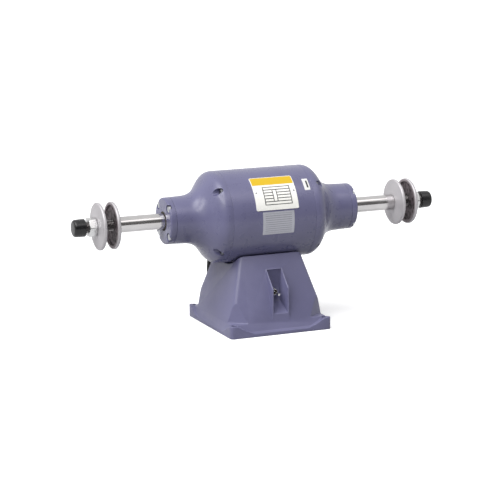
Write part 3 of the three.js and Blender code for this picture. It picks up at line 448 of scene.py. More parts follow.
@dataclass(frozen=True)
class NameplatePrint(Print):
    """White plate with a yellow band and a ruled table. UV runs over the plate."""

    band_colour: str = "dfb80a"
    ink: str = "1c1c1e"
    band_up: Range = (0.722, 0.985)
    band_inset: float = 0.015
    table_across: Range = (0.228, 0.855)
    table_up: Range = (0.145, 0.65)
    rows: int = 6
    blank_across: Range = (0.44, 0.53)
    line_half: float = 0.009
    rule_half_share: float = 1.3
    sheen_blot: float = 4 * MM
    roughness: Range = (0.3, 0.4)
    coat: float = 0.2

    def ruled(self, g: Graph, across: Socket, up: Socket) -> Socket:
        """1 on the table's lines: level rules, broken by a blank column, and four uprights."""
        (left, right), (low, high), edge = self.table_across, self.table_up, self.line_half
        row = (high - low) / self.rows
        rise = g.math("PINGPONG", g.math("SUBTRACT", up, low), row / 2)
        rules = g.math("LESS_THAN", rise, self.rule_half_share * edge)
        start, end = self.blank_across
        blank = g.both(
            g.inside(across, start + edge, end - edge),
            g.inside(up, low + row + 2 * edge, high - row - 2 * edge),
        )
        rules = g.both(rules, g.math("SUBTRACT", 1.0, blank))
        sides, dividers = (
            g.math("ADD", *(g.near(across, place, edge) for place in pair))
            for pair in (self.table_across, self.blank_across)
        )
        dividers = g.both(dividers, g.inside(up, low + row - edge, high - row + edge))
        lines = g.math("MAXIMUM", rules, g.math("ADD", sides, dividers))
        lines = g.both(lines, g.inside(across, left - edge, right + edge))
        return g.both(lines, g.inside(up, low - edge, high + edge))

    def lay(self, g: Graph) -> None:
        """Bands and lines are compared out of the two UV coordinates and multiplied together."""
        across, up = g.uv()
        band = g.both(
            g.inside(up, *self.band_up),
            g.inside(across, self.band_inset, 1 - self.band_inset),
        )
        banded = g.mix(band, self.base(g), linear(self.band_colour))
        g.dress(
            Base_Color=g.mix(self.ruled(g, across, up), banded, linear(self.ink)),
            Roughness=g.remap(g.noise(self.sheen_blot, 3), *self.roughness),
            Coat_Weight=self.coat,
        )


@dataclass(frozen=True)
class RuledLabel(Print):
    """A label with faint ruled lines and a plain edge. UV runs over the label."""

    rule: str = "878894"
    lines: int = 9
    margin: float = 0.08
    thickness_share: float = 0.12
    metallic: float = 0.25
    roughness: float = 0.38

    def lay(self, g: Graph) -> None:
        """A ping-pong of the UV height marks the rules, inside a margin."""
        across, up = g.uv()
        step = (1 - 2 * self.margin) / self.lines
        wave = g.math("PINGPONG", g.math("SUBTRACT", up, self.margin), step / 2)
        line = g.math("LESS_THAN", wave, self.thickness_share * step)
        field = g.both(*(g.near(value, 0.5, 0.5 - self.margin) for value in (across, up)))
        colour = g.mix(g.both(line, field), self.base(g, 4), linear(self.rule))
        g.dress(Base_Color=colour, Metallic=self.metallic, Roughness=self.roughness)


@dataclass(frozen=True)
class BarLabel(Print):
    """A small label with one dark upright bar. UV runs over the label."""

    ink: str = "19191b"
    bar_middle: tuple[float, float] = (0.64, 0.5)
    bar_half: tuple[float, float] = (0.15, 0.3)
    roughness: float = 0.4

    def lay(self, g: Graph) -> None:
        """The bar is where both UV coordinates lie near its middle."""
        bar = g.both(*(g.near(*row) for row in zip(g.uv(), self.bar_middle, self.bar_half)))
        g.dress(Base_Color=g.mix(bar, self.base(g), linear(self.ink)), Roughness=self.roughness)


class Skin(Enum):
    """Every finish of the machine."""

    ENAMEL = Paint("lavender_enamel", Slot.PAINT)
    CAST_ENAMEL = Paint(
        "lavender_enamel_on_casting",
        Slot.PAINT,
        waves=7 * MM,
        waves_depth=0.06 * MM,
        roughness=(0.38, 0.48),
    )
    GROUND_STEEL = TurnedMetal("ground_steel", Slot.STEEL)
    OILED_THREAD = TurnedMetal("oiled_thread", Slot.STEEL, colour="8a8787", roughness=(0.22, 0.34))
    MACHINED_FLANGE = TurnedMetal(
        "machined_flange",
        Slot.FLANGE,
        colour="c1bec1",
        roughness=(0.42, 0.58),
        ring_depth=0.008 * MM,
        along_axis=False,
        metallic=0.5,
    )
    FLANGE_HOLLOW = RoughCasting("flange_hollow", Slot.FLANGE)
    ZINC_PLATE = Plating("zinc_plate", Slot.ZINC)
    DULL_BOLT = Plating("dull_bolt", Slot.ZINC, colour="7d7f83", roughness=(0.3, 0.45))
    BRIGHT_NUT = Plating("bright_nut", Slot.ZINC, colour="d6d6d6", roughness=(0.16, 0.28))
    CORD_RUBBER = Moulding("cord_rubber", Slot.CORD, "17171a", (0.5, 0.62))
    SOFT_VINYL = Moulding("soft_vinyl", Slot.VINYL, "151517", (0.2, 0.3), grain=1.2 * MM)
    FELT = Moulding("felt", Slot.PHENOLIC, "393430", (0.85, 0.95), grain=0.7 * MM, depth=0.1 * MM)
    PHENOLIC = Moulding("phenolic", Slot.PHENOLIC, "2c1a12", (0.35, 0.5))
    CAPACITOR = Moulding("capacitor_skin", Slot.CAPACITOR, "26282b", (0.3, 0.45))
    LAMINATIONS = Stack("laminations", Slot.LAMINATION)
    COPPER = Wire("copper_winding", Slot.COPPER)
    NAMEPLATE = NameplatePrint(
        "nameplate_print", Slot.PLATE, "fbfaf5", tones=(0.97, 1.02), blot=12 * MM, grain=2 * MM
    )
    GREY_LABEL = RuledLabel("grey_form_label", Slot.PLATE, "bcbdc6", tones=(0.96, 1.04), blot=5 * MM)
    WHITE_LABEL = BarLabel("bar_label", Slot.PLATE, "eeeeec", tones=(0.97, 1.02), blot=3 * MM)


def rounded(
    corners: Sequence[tuple[float, float, float]], closed: bool = False, steps: int = 5
) -> np.ndarray:
    """A profile through corners, each eased by an arc.

    At a corner with fillet f and half-angle h between its two sides the arc touches both sides
    f / tan(h) away, and its points turn evenly from one touching point to the other. A corner
    that is nearly straight stays a point, and an arc takes up less than half of a side.

    Args:
        corners: Place along, radius and fillet of each corner.
        closed: Whether the last corner joins the first.
        steps: Steps in each arc.

    Returns:
        Rows of place along and radius.
    """
    straight, side_share = math.radians(88), 0.49
    places = np.array([corner[:2] for corner in corners], float)
    made: list[np.ndarray] = []
    for index, (place, (_, _, fillet)) in enumerate(zip(places, corners)):
        if fillet <= 0 or not closed and index in (0, len(corners) - 1):
            made.append(place[None])
            continue
        back = places[index - 1] - place
        ahead = places[(index + 1) % len(places)] - place
        room = min(np.linalg.norm(back), np.linalg.norm(ahead)) * side_share
        back, ahead = back / np.linalg.norm(back), ahead / np.linalg.norm(ahead)
        half = math.acos(float(np.clip(back @ ahead, -1, 1))) / 2
        if half > straight:
            made.append(place[None])
            continue
        reach = min(fillet / math.tan(half), room)
        radius = reach * math.tan(half)
        middle = place + (back + ahead) / np.linalg.norm(back + ahead) * radius / math.sin(half)
        start, end = place + back * reach - middle, place + ahead * reach - middle
        sweep = math.acos(float(np.clip(start @ end / radius**2, -1, 1)))
        share = np.linspace(0, 1, steps + 1)[:, None]
        arc = (np.sin((1 - share) * sweep) * start + np.sin(share * sweep) * end) / math.sin(sweep)
        made.append(middle + arc)
    return np.concatenate(made)


def flared(start: Sequence[float], end: Sequence[float], handles: Range, steps: int) -> np.ndarray:
    """A cubic curve that leaves start and reaches end level.

    At a share s the place is (1-s)^3 start + 3 s (1-s)^2 first + 3 s^2 (1-s) second + s^3 end.

    Args:
        start: Place along and radius where it starts.
        end: Place along and radius where it ends.
        handles: Places of the first and second handle, as shares of the span along.
        steps: Steps from start to end.

    Returns:
        Rows of place along and radius.
    """
    first, second = (start[0] + handle * (end[0] - start[0]) for handle in handles)
    points = np.array([start, [first, start[1]], [second, end[1]], end])
    s = np.linspace(0, 1, steps + 1)
    weights = np.stack([(1 - s) ** 3, 3 * s * (1 - s) ** 2, 3 * s**2 * (1 - s), s**3], 1)
    return weights @ points


def eased(value: np.ndarray, low: float, high: float) -> np.ndarray:
    """3 s^2 - 2 s^3 of the share s from low to high."""
    share = np.clip((value - low) / (high - low), 0, 1)
    return share * share * (3 - 2 * share)


def squared_bar(
    along: np.ndarray, wide: np.ndarray, high: np.ndarray, power: float | np.ndarray, count: int
) -> tuple[np.ndarray, np.ndarray, np.ndarray]:
    """Sections of a bar, each a superellipse.

    The point at angle t lies w sign(cos t) |cos t|^p across and h sign(sin t) |sin t|^p up, for
    half-width w, half-height h and power p. A section is squarer as p falls.

    Args:
        along: Place of each section.
        wide: Half-width of each section.
        high: Half-height of each section.
        power: Power of each section, or one for all.
        count: Points round a section.

    Returns:
        Places across, along and up, each as sections by points.
    """
    turn = np.linspace(0, 2 * math.pi, count, endpoint=False)
    power = np.broadcast_to(power, along.shape)[:, None]
    ring = [np.sign(wave) * np.abs(wave) ** power for wave in (np.cos(turn), np.sin(turn))]
    return wide[:, None] * ring[0], np.repeat(along[:, None], count, 1), high[:, None] * ring[1]


class Piece:
    """An object in the making. It sits at the origin, with its place in its mesh."""

    def __init__(self, name: str, data: bpy.types.Mesh | bpy.types.Curve) -> None:
        """Puts an object of that name and data in the scene."""
        self.object = bpy.data.objects.new(name, data)
        bpy.context.scene.collection.objects.link(self.object)

    @property
    def data(self) -> bpy.types.Mesh:
        """The object's mesh."""
        return self.object.data

    @classmethod
    def of_faces(cls, name: str, points: np.ndarray, faces: np.ndarray) -> "Piece":
        """A mesh of points and of faces by their points' indices."""
        data = bpy.data.meshes.new(name)
        data.from_pydata(points.tolist(), [], faces.tolist())
        return cls(name, data)

    @classmethod
    def grid(
        cls,
        name: str,
        points: np.ndarray,
        wrap_rows: bool = False,
        wrap_columns: bool = True,
        crease: float = CREASE,
    ) -> "Piece":
        """A surface whose faces lie between four neighbouring points of a grid.

        Args:
            name: The piece's name.
            points: Places, as rows by columns by 3.
            wrap_rows: Whether the last row joins the first.
            wrap_columns: Whether the last column joins the first.
            crease: Edges bent more than this, in degrees, are drawn sharp.

        Returns:
            The piece, with its faces outwards and its poles merged.
        """
        rows, columns = points.shape[:2]
        row = np.arange(rows if wrap_rows else rows - 1)[:, None]
        column = np.arange(columns if wrap_columns else columns - 1)[None, :]
        next_row, next_column = (row + 1) % rows, (column + 1) % columns
        corners = ((row, column), (row, next_column), (next_row, next_column), (next_row, column))
        quads = np.stack([down * columns + across for down, across in corners], axis=-1)
        made = cls.of_faces(name, points.reshape(-1, 3), quads.reshape(-1, 4))
        work = made.opened()
        bmesh.ops.remove_doubles(work, verts=work.verts, dist=WELD)
        bmesh.ops.recalc_face_normals(work, faces=work.faces)
        return made.closed(work, crease)

    @classmethod
    def revolve(
        cls,
        name: str,
        profile: np.ndarray,
        height: float = 0.0,
        facets: int = 48,
        closed: bool = False,
        side: int = 1,
    ) -> "Piece":
        """Turns a profile about the line along X at a height.

        A point at along a and radius r goes to (a, r cos t, height + r sin t) for t round the circle.

        Args:
            name: The piece's name.
            profile: Rows of place along X and radius.
            height: Height of the axis over the bench.
            facets: Steps round the circle.
            closed: Whether the profile's end joins its start, as for a ring.
            side: 1 to keep the profile's X, -1 to turn it to the left end.

        Returns:
            The piece.
        """
        turn = np.linspace(0, 2 * math.pi, facets, endpoint=False)
        along, radius = side * np.repeat(profile[:, :1], facets, axis=1), profile[:, 1:]
        points = np.stack([along, radius * np.cos(turn), height + radius * np.sin(turn)], axis=-1)
        return cls.grid(name, points, wrap_rows=closed)

    def opened(self) -> bmesh.types.BMesh:
        """A copy of the mesh to work on."""
        work = bmesh.new()
        work.from_mesh(self.data)
        return work

    def closed(self, work: bmesh.types.BMesh, crease: float = CREASE) -> "Piece":
        """Takes a worked mesh over and shades it."""
        work.to_mesh(self.data)
        work.free()
        return self.shaded(crease)

    def shaded(self, crease: float = CREASE) -> "Piece":
        """Shades smooth, with edges bent more than crease degrees left sharp."""
        self.data.shade_smooth()
        self.data.set_sharp_from_angle(angle=math.radians(crease))
        return self

    def moved(self, place: Matrix) -> "Piece":
        """Moves the mesh."""
        self.data.transform(place)
        return self

    def joined(self, name: str, others: Sequence["Piece"]) -> "Piece":
        """Takes other pieces into this one under a new name and drops them."""
        work = self.opened()
        for part in others:
            work.from_mesh(part.data)
            bpy.data.objects.remove(part.object)
        self.object.name = self.data.name = name
        return self.closed(work)

    def baked(self) -> "Piece":
        """Applies the modifiers to the mesh."""
        graph = bpy.context.evaluated_depsgraph_get()
        self.object.data = bpy.data.meshes.new_from_object(self.object.evaluated_get(graph))
        self.data.name = self.object.name
        self.object.modifiers.clear()
        return self

    def carved(self, tools: Sequence["Piece"]) -> "Piece":
        """Cuts closed pieces out of this closed piece and drops them."""
        tool = tools[0].joined("tool", tools[1:])
        cut = self.object.modifiers.new("cut", "BOOLEAN")
        cut.operation, cut.solver, cut.object = "DIFFERENCE", "EXACT", tool.object
        self.baked()
        bpy.data.objects.remove(tool.object)
        return self.shaded()

    def face_middles(self) -> np.ndarray:
        """The middle of each face."""
        places = np.zeros(3 * len(self.data.polygons))
        self.data.polygons.foreach_get("center", places)
        return places.reshape(-1, 3)


class Finishes:
    """The material of every finish, made once."""

    def __init__(self) -> None:
        """Builds the materials."""
        self.materials = {skin: skin.value.build() for skin in Skin}

    def on(self, piece: Piece, skin: Skin, body: Body, *nodes: str) -> bpy.types.Object:
        """Dresses a piece, sets it on its body and lets it stand for CAD nodes.

        Args:
            piece: The finished piece; one that has its materials keeps them.
            skin: Its finish, which also carries a slot of the record.
            body: The body that it rides on.
            nodes: CAD nodes that it replaces.

        Returns:
            The piece's object.
        """
        made = piece.object
        if not made.data.materials:
            made.data.materials.append(self.materials[skin])
        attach(made, body.value)
        if nodes:
            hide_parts(*nodes)
        LOG.info("%s rides on %s", made.name, body.value)
        return made

    def split(self, piece: Piece, first: Skin, second: Skin, marked: np.ndarray) -> None:
        """Gives a piece two finishes, the second one on the marked faces."""
        for skin in (first, second):
            piece.data.materials.append(self.materials[skin])
        piece.data.polygons.foreach_set("material_index", marked.astype(np.int32))

    def on_nodes(self, nodes: dict[str, bpy.types.Object], names: Iterable[str], skin: Skin) -> None:
        """Gives CAD nodes that stay in view their finish."""
        for name in names:
            materials = nodes[name].data.materials
            materials.clear()
            materials.append(self.materials[skin])
            LOG.info("%s keeps its CAD mesh", name)


@dataclass
class Studio:
    """Camera at the photograph's angle, plain soft light, a pale floor, and strips round it that are painted
    reflections, seen only in glossy surfaces.
    """

    azimuth: float = math.radians(-22.65)
    elevation: float = math.radians(11.17)
    roll: float = math.radians(-0.65)
    distance: float = 3445.1 * MM
    aim: tuple[float, float, float] = (-13.6 * MM, 5.7 * MM, 135.7 * MM)
    lens: float = 135.56
    sensor: float = 36.0
    clip: Range = (0.05, 200.0)
    sky: float = 0.32
    glossy_sky: float = 0.88
    camera_sky: float = 1.0
    sun: float = 3.5
    sun_softness: float = math.radians(60)
    sun_from: tuple[float, float, float] = (-0.52, -0.3, 0.8)
    floor_half: float = 40.0
    floor_shade: str = "989899"
    floor_seen: str = "ebebec"
    floor_blot: float = 0.4
    floor_glow: float = 0.5
    table_reach: float = 2.3
    room_reach: float = 4.0
    room_arc: float = math.radians(65)
    room_lift: float = 2 * MM
    wall_height: float = 3.2
    room_glow: float = 0.13
    box_arc: float = math.radians(95)
    box_heights: Range = (4.4, 7.4)
    box_glow: float = 1.9
    glow_colour: tuple[float, ...] = (1, 0.97, 0.97, 1)
    arc_points: int = 48

    def camera(self) -> None:
        """Places the camera: back is the way from the aim to it, and roll turns it about that line."""
        sine, cosine = math.sin(self.azimuth), math.cos(self.azimuth)
        level = math.cos(self.elevation)
        back = Vector((sine * level, -cosine * level, math.sin(self.elevation)))
        right = Vector((cosine, sine, 0.0))
        up = back.cross(right)
        across = right * math.cos(self.roll) + up * math.sin(self.roll)
        upward = up * math.cos(self.roll) - right * math.sin(self.roll)
        data = bpy.data.cameras.new("photograph_view")
        data.lens, data.sensor_width = self.lens, self.sensor
        data.clip_start, data.clip_end = self.clip
        camera = bpy.data.objects.new("photograph_view", data)
        turn = Matrix((across, upward, back)).transposed().to_4x4()
        camera.matrix_world = Matrix.Translation(Vector(self.aim) + back * self.distance) @ turn
        bpy.context.scene.collection.objects.link(camera)
        bpy.context.scene.camera = camera

    def lights(self) -> None:
        """A white sky: white to the camera, and in glossy surfaces a little under white, far brighter than
        the light it casts, which makes a painted sheen; and one wide soft sun.
        """
        world = Graph(bpy.data.worlds.new("studio"), "Background")
        rays = world.add("LightPath").outputs
        strength: Value = self.sky
        # Glossy rays see the sky brighter than it lights diffuse surfaces: a painted reflection.
        for name, seen in (("Is Glossy Ray", self.glossy_sky), ("Is Camera Ray", self.camera_sky)):
            strength = world.add("MapRange", {0: rays[name], 3: strength, 4: seen}).outputs[0]
        world.dress(Color=(1, 1, 1, 1), Strength=strength)
        bpy.context.scene.world = world.owner
        data = bpy.data.lights.new("soft_sun", "SUN")
        data.energy, data.angle = self.sun, self.sun_softness
        lamp = bpy.data.objects.new("soft_sun", data)
        lamp.rotation_mode = "QUATERNION"
        lamp.rotation_quaternion = Vector(self.sun_from).to_track_quat("Z", "Y")
        bpy.context.scene.collection.objects.link(lamp)

    def floor(self) -> None:
        """A wide pale floor, lifted a little for the camera so that it reads as white."""
        corners = np.array([[-1, -1, 0], [1, -1, 0], [1, 1, 0], [-1, 1, 0]]) * self.floor_half
        floor = Piece.of_faces("floor", corners, np.array([[0, 1, 2, 3]]))
        g = Graph(bpy.data.materials.new("pale_floor"))
        rays = g.add("LightPath").outputs
        seen = g.math("MAXIMUM", rays["Is Camera Ray"], rays["Is Glossy Ray"])
        seen = g.math("MAXIMUM", seen, rays["Is Transmission Ray"])
        pale = g.shade(self.floor_seen, (0.99, 1.0), g.noise(self.floor_blot, 1))
        g.dress(
            Base_Color=g.mix(seen, linear(self.floor_shade), pale),
            Roughness=0.9,
            Specular_IOR_Level=0.0,
            Emission_Color=(1, 1, 1, 1),
            Emission_Strength=g.math("MULTIPLY", rays["Is Camera Ray"], self.floor_glow),
        )
        floor.data.materials.append(g.owner)

    def surround(self) -> None:
        """Painted reflections: a dark floor and wall behind the camera and a glowing strip over them, seen
        only in glossy surfaces; they light nothing and cast no shadow.
        """
        dark, box = (Graph(bpy.data.materials.new(name)) for name in ("dark_room", "soft_box"))
        # The dark strips glow faintly and the upper strip brightly, only as painted reflections and a
        # painted highlight.
        for graph, glow in ((dark, self.room_glow), (box, self.box_glow)):
            graph.dress(Base_Color=(0, 0, 0, 1), Emission_Color=self.glow_colour, Emission_Strength=glow)
        far, (low, high) = self.room_reach, self.box_heights
        strips = (
            ("dark_floor", dark, self.room_arc, (self.table_reach, self.room_lift), (far, self.room_lift)),
            ("dark_wall", dark, self.room_arc, (far, 0), (far, self.wall_height)),
            ("soft_box", box, self.box_arc, (far, low), (far, high)),
        )
        for name, graph, half, *edges in strips:
            arc = self.azimuth - math.pi / 2 + np.linspace(-half, half, self.arc_points)
            ways = np.stack([np.cos(arc), np.sin(arc)], -1)
            rows = [np.column_stack([reach * ways, np.full(len(ways), height)]) for reach, height in edges]
            strip = Piece.grid(name, np.stack(rows), wrap_columns=False)
            strip.data.materials.append(graph.owner)
            for rays in ("camera", "diffuse", "transmission", "volume_scatter", "shadow"):
                setattr(strip.object, "visible_" + rays, False)

    def build(self) -> None:
        """Sets up the whole studio."""
        self.camera()
        self.lights()
        self.floor()
        self.surround()
        bpy.context.scene.view_settings.view_transform = "Standard"


@dataclass
class SupplyCord:
    """Cord, its strain relief, the coil that stores its spare length, the tie and the plug."""

    diameter: float = 8.4 * MM
    boss_reach: float = 68.5 * MM
    relief_place: tuple[float, float, float] = (-41.5 * MM, 0, 116 * MM)
    relief_length: float = 26 * MM
    relief_neck: float = 6.5 * MM
    relief_tail: float = 9 * MM
    collar_radius: float = 9.5 * MM
    collar_width: float = 3 * MM
    collar_round: float = 1 * MM
    sleeve_radii: Range = (7.6 * MM, 5.4 * MM)
    groove_depth: float = 0.55 * MM
    grooves: int = 7
    coil_middle: tuple[float, float] = (70 * MM, 173.5 * MM)
    coil_turns: int = 5
    coil_share: float = 10.4
    turn_gap: float = 0.8 * MM
    bench_gap: float = 0.2 * MM
    climb_turns: float = 0.5
    tail_turns: float = 0.25
    tail_swing: float = 26 * MM
    tail_drop_share: float = 0.25
    steps_per_turn: int = 72
    hidden_start: float = 2 * MM
    hidden_end: float = 6 * MM
    plug_half_height: float = 11 * MM
    plug_rows_mm: tuple[tuple[float, ...], ...] = (
        (0.0, 5.4, 5.4, 1.0),
        (2.0, 5.6, 5.6, 1.0),
        (9.0, 6.0, 6.0, 0.95),
        (11.5, 7.5, 7.2, 0.8),
        (14.0, 11.2, 10.0, 0.6),
        (17.0, 12.6, 10.9, 0.5),
        (24.0, 12.2, 10.6, 0.48),
        (29.0, 12.7, 10.9, 0.48),
        (33.0, 13.0, 11.0, 0.48),
        (34.0, 12.4, 10.4, 0.5),
    )
    blade_rows_mm: tuple[tuple[float, ...], ...] = (
        (-6.35, 0.5, 0.75, 3.2, 51, 0.28),
        (6.35, 0.5, 0.75, 3.2, 51, 0.28),
        (0, -6, 2.4, 2.4, 53.4, 1.0),
    )
    blade_root: float = 32 * MM
    blade_point: float = 1 * MM
    blade_point_share: float = 0.55
    strap_half_width: float = 7 * MM
    strap_walls: Range = (0.2 * MM, 0.7 * MM)
    strap_thin_below: float = 1 * MM
    strap_angle: float = math.radians(60)
    strap_round: float = 4 * MM
    strap_low: float = 0.25 * MM
    strap_clearance: float = 0.9 * MM
    route_mm: tuple[tuple[float, float, float], ...] = (
        (-41.5, 95.1, 116),
        (-41.5, 100, 116),
        (-41.5, 106, 116),
        (-41.5, 119.8, 113.3),
        (-41.5, 131.5, 105.5),
        (-41.5, 139.3, 93.8),
        (-41.5, 142, 80),
        (-41.5, 142, 66),
        (-41.5, 142, 52),
        (-41.5, 142, 40.5),
        (-38.8, 142, 26.7),
        (-31, 141.8, 15),
        (-19.3, 141, 7.2),
        (-5.5, 139, 4.6),
        (9, 135, 4.4),
        (25, 128.8, 4.4),
        (40, 122.6, 4.4),
        (51, 119.1, 4.4),
        (56, 118.4, 4.4),
        (58.5, 118.3, 4.4),
        (61.3, 118.3, 4.4),
    )

    @property
    def pitch(self) -> float:
        """Distance between the middles of neighbouring turns."""
        return self.diameter + self.turn_gap

    @property
    def outer_radius(self) -> float:
        """Radius of the outermost turn's centre line."""
        return self.coil_share * self.diameter / 2 + self.pitch * self.coil_turns / 4

    def free_run(self, steps: int = 8) -> np.ndarray:
        """Points of the smooth curve through the route.

        Between two route points p1 and p2 the place is the Catmull-Rom cubic of p0, p1, p2, p3
        at a share s: half of 2 p1 + (p2 - p0) s + (2 p0 - 5 p1 + 4 p2 - p3) s^2
        + (3 p1 - p0 - 3 p2 + p3) s^3.

        Args:
            steps: Points for each stretch between two route points.

        Returns:
            Places along the run.
        """
        route = np.array(self.route_mm) * MM
        padded = np.concatenate([2 * route[:1] - route[1:2], route, 2 * route[-1:] - route[-2:-1]])
        p0, p1, p2, p3 = (padded[start : len(padded) - 3 + start, None] for start in range(4))
        s = np.linspace(0, 1, steps, endpoint=False)[None, :, None]
        cubic = 2 * p1 + (p2 - p0) * s + (2 * p0 - 5 * p1 + 4 * p2 - p3) * s**2
        cubic = (cubic + (3 * p1 - p0 - 3 * p2 + p3) * s**3) / 2
        return np.concatenate([cubic.reshape(-1, 3), route[-1:]])

    def coil(self) -> np.ndarray:
        """Points of the coil: in on the bench, up a layer in half a turn, out on top, then the tail."""
        total = self.coil_turns + self.tail_turns
        turn = np.linspace(0, total, round(total * self.steps_per_turn) + 1)
        half = self.coil_turns / 2
        from_reversal = np.abs(np.minimum(turn, self.coil_turns) - half)
        tail = np.maximum(turn - self.coil_turns, 0) / self.tail_turns
        radius = self.outer_radius - self.pitch * (half - from_reversal)
        radius = radius + self.tail_swing * eased(tail, 0, 1)
        climb = self.pitch * eased(turn, half - self.climb_turns / 2, half + self.climb_turns / 2)
        drop = self.plug_half_height - self.diameter / 2 - self.pitch
        level = self.diameter / 2 + self.bench_gap + climb + drop * eased(tail, self.tail_drop_share, 1)
        angle = 2 * math.pi * turn - math.pi / 2
        x, y = self.coil_middle
        return np.stack([x + radius * np.cos(angle), y + radius * np.sin(angle), level], axis=-1)

    def path(self) -> np.ndarray:
        """The whole centre line, from inside the strain relief to inside the plug."""
        run, coil = self.free_run(), self.coil()
        start = run[:1] - np.array([[0, self.hidden_start, 0]])
        end = coil[-1:] + np.array([[0, self.diameter + self.hidden_end, 0]])
        return np.concatenate([start, run, coil, end])

    def cord(self) -> tuple[Piece, float]:
        """The cord as one bevelled curve.

        Returns:
            The curve and its length.
        """
        path = self.path()
        data = bpy.data.curves.new("supply_cord_flex", "CURVE")
        data.dimensions, data.bevel_depth, data.bevel_resolution = "3D", self.diameter / 2, 5
        data.use_fill_caps = True
        spline = data.splines.new("POLY")
        spline.points.add(len(path) - 1)
        spline.points.foreach_set("co", np.column_stack([path, np.ones(len(path))]).ravel())
        return Piece(data.name, data), float(np.linalg.norm(np.diff(path, axis=0), axis=1).sum())

    def relief(self) -> Piece:
        """A grooved sleeve: its radius falls evenly and dips once for each groove, as a sine squared."""
        start, neck, collar = self.boss_reach + GAP, self.relief_neck, self.collar_radius
        (root, tip), step = self.sleeve_radii, start + self.collar_width
        share = np.linspace(0, 1, 61)
        dips = self.groove_depth * np.sin(math.pi * self.grooves * share) ** 2
        sleeve = np.column_stack([
            step + share * (self.relief_length - self.collar_width),
            root + (tip - root) * share - dips,
        ])
        ease = self.collar_round
        profile = np.concatenate([
            [[start - self.relief_tail, 0], [start - self.relief_tail, neck]],
            rounded([(start, neck, 0), (start, collar, ease), (step, collar, ease)]),
            [[step, collar]],
            sleeve,
            [[start + self.relief_length, 0]],
        ])
        place = Matrix.Translation(self.relief_place) @ Matrix.Rotation(math.pi / 2, 4, "Z")
        return Piece.revolve("cord_relief_sleeve", profile).moved(place)

    def plug_body(self, end: np.ndarray) -> Piece:
        """A moulded plug: superellipse sections that grow from the cord, at end, to the grip.

        A row gives a section's place along, half-width, half-height and power.
        """
        rows = np.array(self.plug_rows_mm)
        rows[:, :3] *= MM
        share = np.linspace(0, len(rows) - 1, 6 * (len(rows) - 1) + 1)
        along, *size, power = (np.interp(share, np.arange(len(rows)), column) for column in rows.T)
        points = np.stack(squared_bar(along, *size, power, 64), axis=-1)
        closing = points[[0, -1]].mean(axis=1, keepdims=True).repeat(points.shape[1], 1)
        points = np.concatenate([closing[:1], points, closing[1:]]) + (end + np.array([0, GAP, 0]))
        return Piece.grid("plug_body", points, crease=50)

    def plug_blades(self, end: np.ndarray) -> Piece:
        """Two flat blades and a round earth pin, as superellipse bars along +Y from the plug.

        A row gives a bar's place across and up, half-width, half-height, reach and power.
        """
        blades = []
        scale = np.array([0, 1, 1, self.blade_point_share, 0])
        for x, z, wide, high, reach, power in self.blade_rows_mm:
            tip = reach * MM
            along = np.array([self.blade_root, self.blade_root, tip - self.blade_point, tip, tip])
            bar = squared_bar(along, wide * MM * scale, high * MM * scale, power, 32)
            place = end + np.array([x * MM, GAP, z * MM])
            blades.append(Piece.grid("blade", np.stack(bar, axis=-1) + place))
        return blades[0].joined("plug_blades", blades[1:])

    def tie(self) -> Piece:
        """A strap round the bundle of turns, at the far side of the coil.

        Its centre line is a rounded rectangle in radius and height, carried at one angle; across
        the line the strap is flat and as wide as its width. Under the coil it is thinner.
        """
        low, ease = self.strap_low, self.strap_round
        high = self.bench_gap + self.diameter + self.pitch + self.strap_clearance
        margin = self.diameter / 2 + self.strap_clearance
        start = self.outer_radius - self.pitch * self.coil_turns / 2 - margin
        end = self.outer_radius + margin
        corners = ((start, low), (end, low), (end, high), (start, high))
        outline = rounded([(*corner, ease) for corner in corners], closed=True, steps=8)
        tangent = np.roll(outline, -1, 0) - np.roll(outline, 1, 0)
        tangent /= np.linalg.norm(tangent, axis=1, keepdims=True)
        normal = np.column_stack([-tangent[:, 1], tangent[:, 0]])
        wall = np.where(outline[:, 1] < self.strap_thin_below, *self.strap_walls)[:, None] / 2
        sine, cosine = math.sin(self.strap_angle), math.cos(self.strap_angle)
        frame = np.array([[cosine, sine, 0], [0, 0, 1]])
        sideways = self.strap_half_width * np.array([-sine, cosine, 0])
        rings = [
            np.array([*self.coil_middle, 0]) + (outline + side * normal * wall) @ frame + across * sideways
            for side, across in ((1, 1), (-1, 1), (-1, -1), (1, -1))
        ]
        return Piece.grid("coil_tie", np.stack(rings, axis=1), wrap_rows=True)

    def build(self, finishes: Finishes) -> None:
        curve, length = self.cord()
        end = self.coil()[-1] + np.array([0, self.diameter, 0])
        cord, *others = (
            finishes.on(piece, skin, Body.STAND, *nodes)
            for piece, skin, nodes in (
                (curve, Skin.CORD_RUBBER, ("supply_cord", "supply_cord_coil")),
                (self.relief(), Skin.CORD_RUBBER, ("cord_strain_relief",)),
                (self.plug_body(end), Skin.CORD_RUBBER, ("supply_plug",)),
                (self.plug_blades(end), Skin.BRIGHT_NUT, ()),
                (self.tie(), Skin.SOFT_VINYL, ()),
            )
        )
        LOG.info("cord length %.3f m", length)


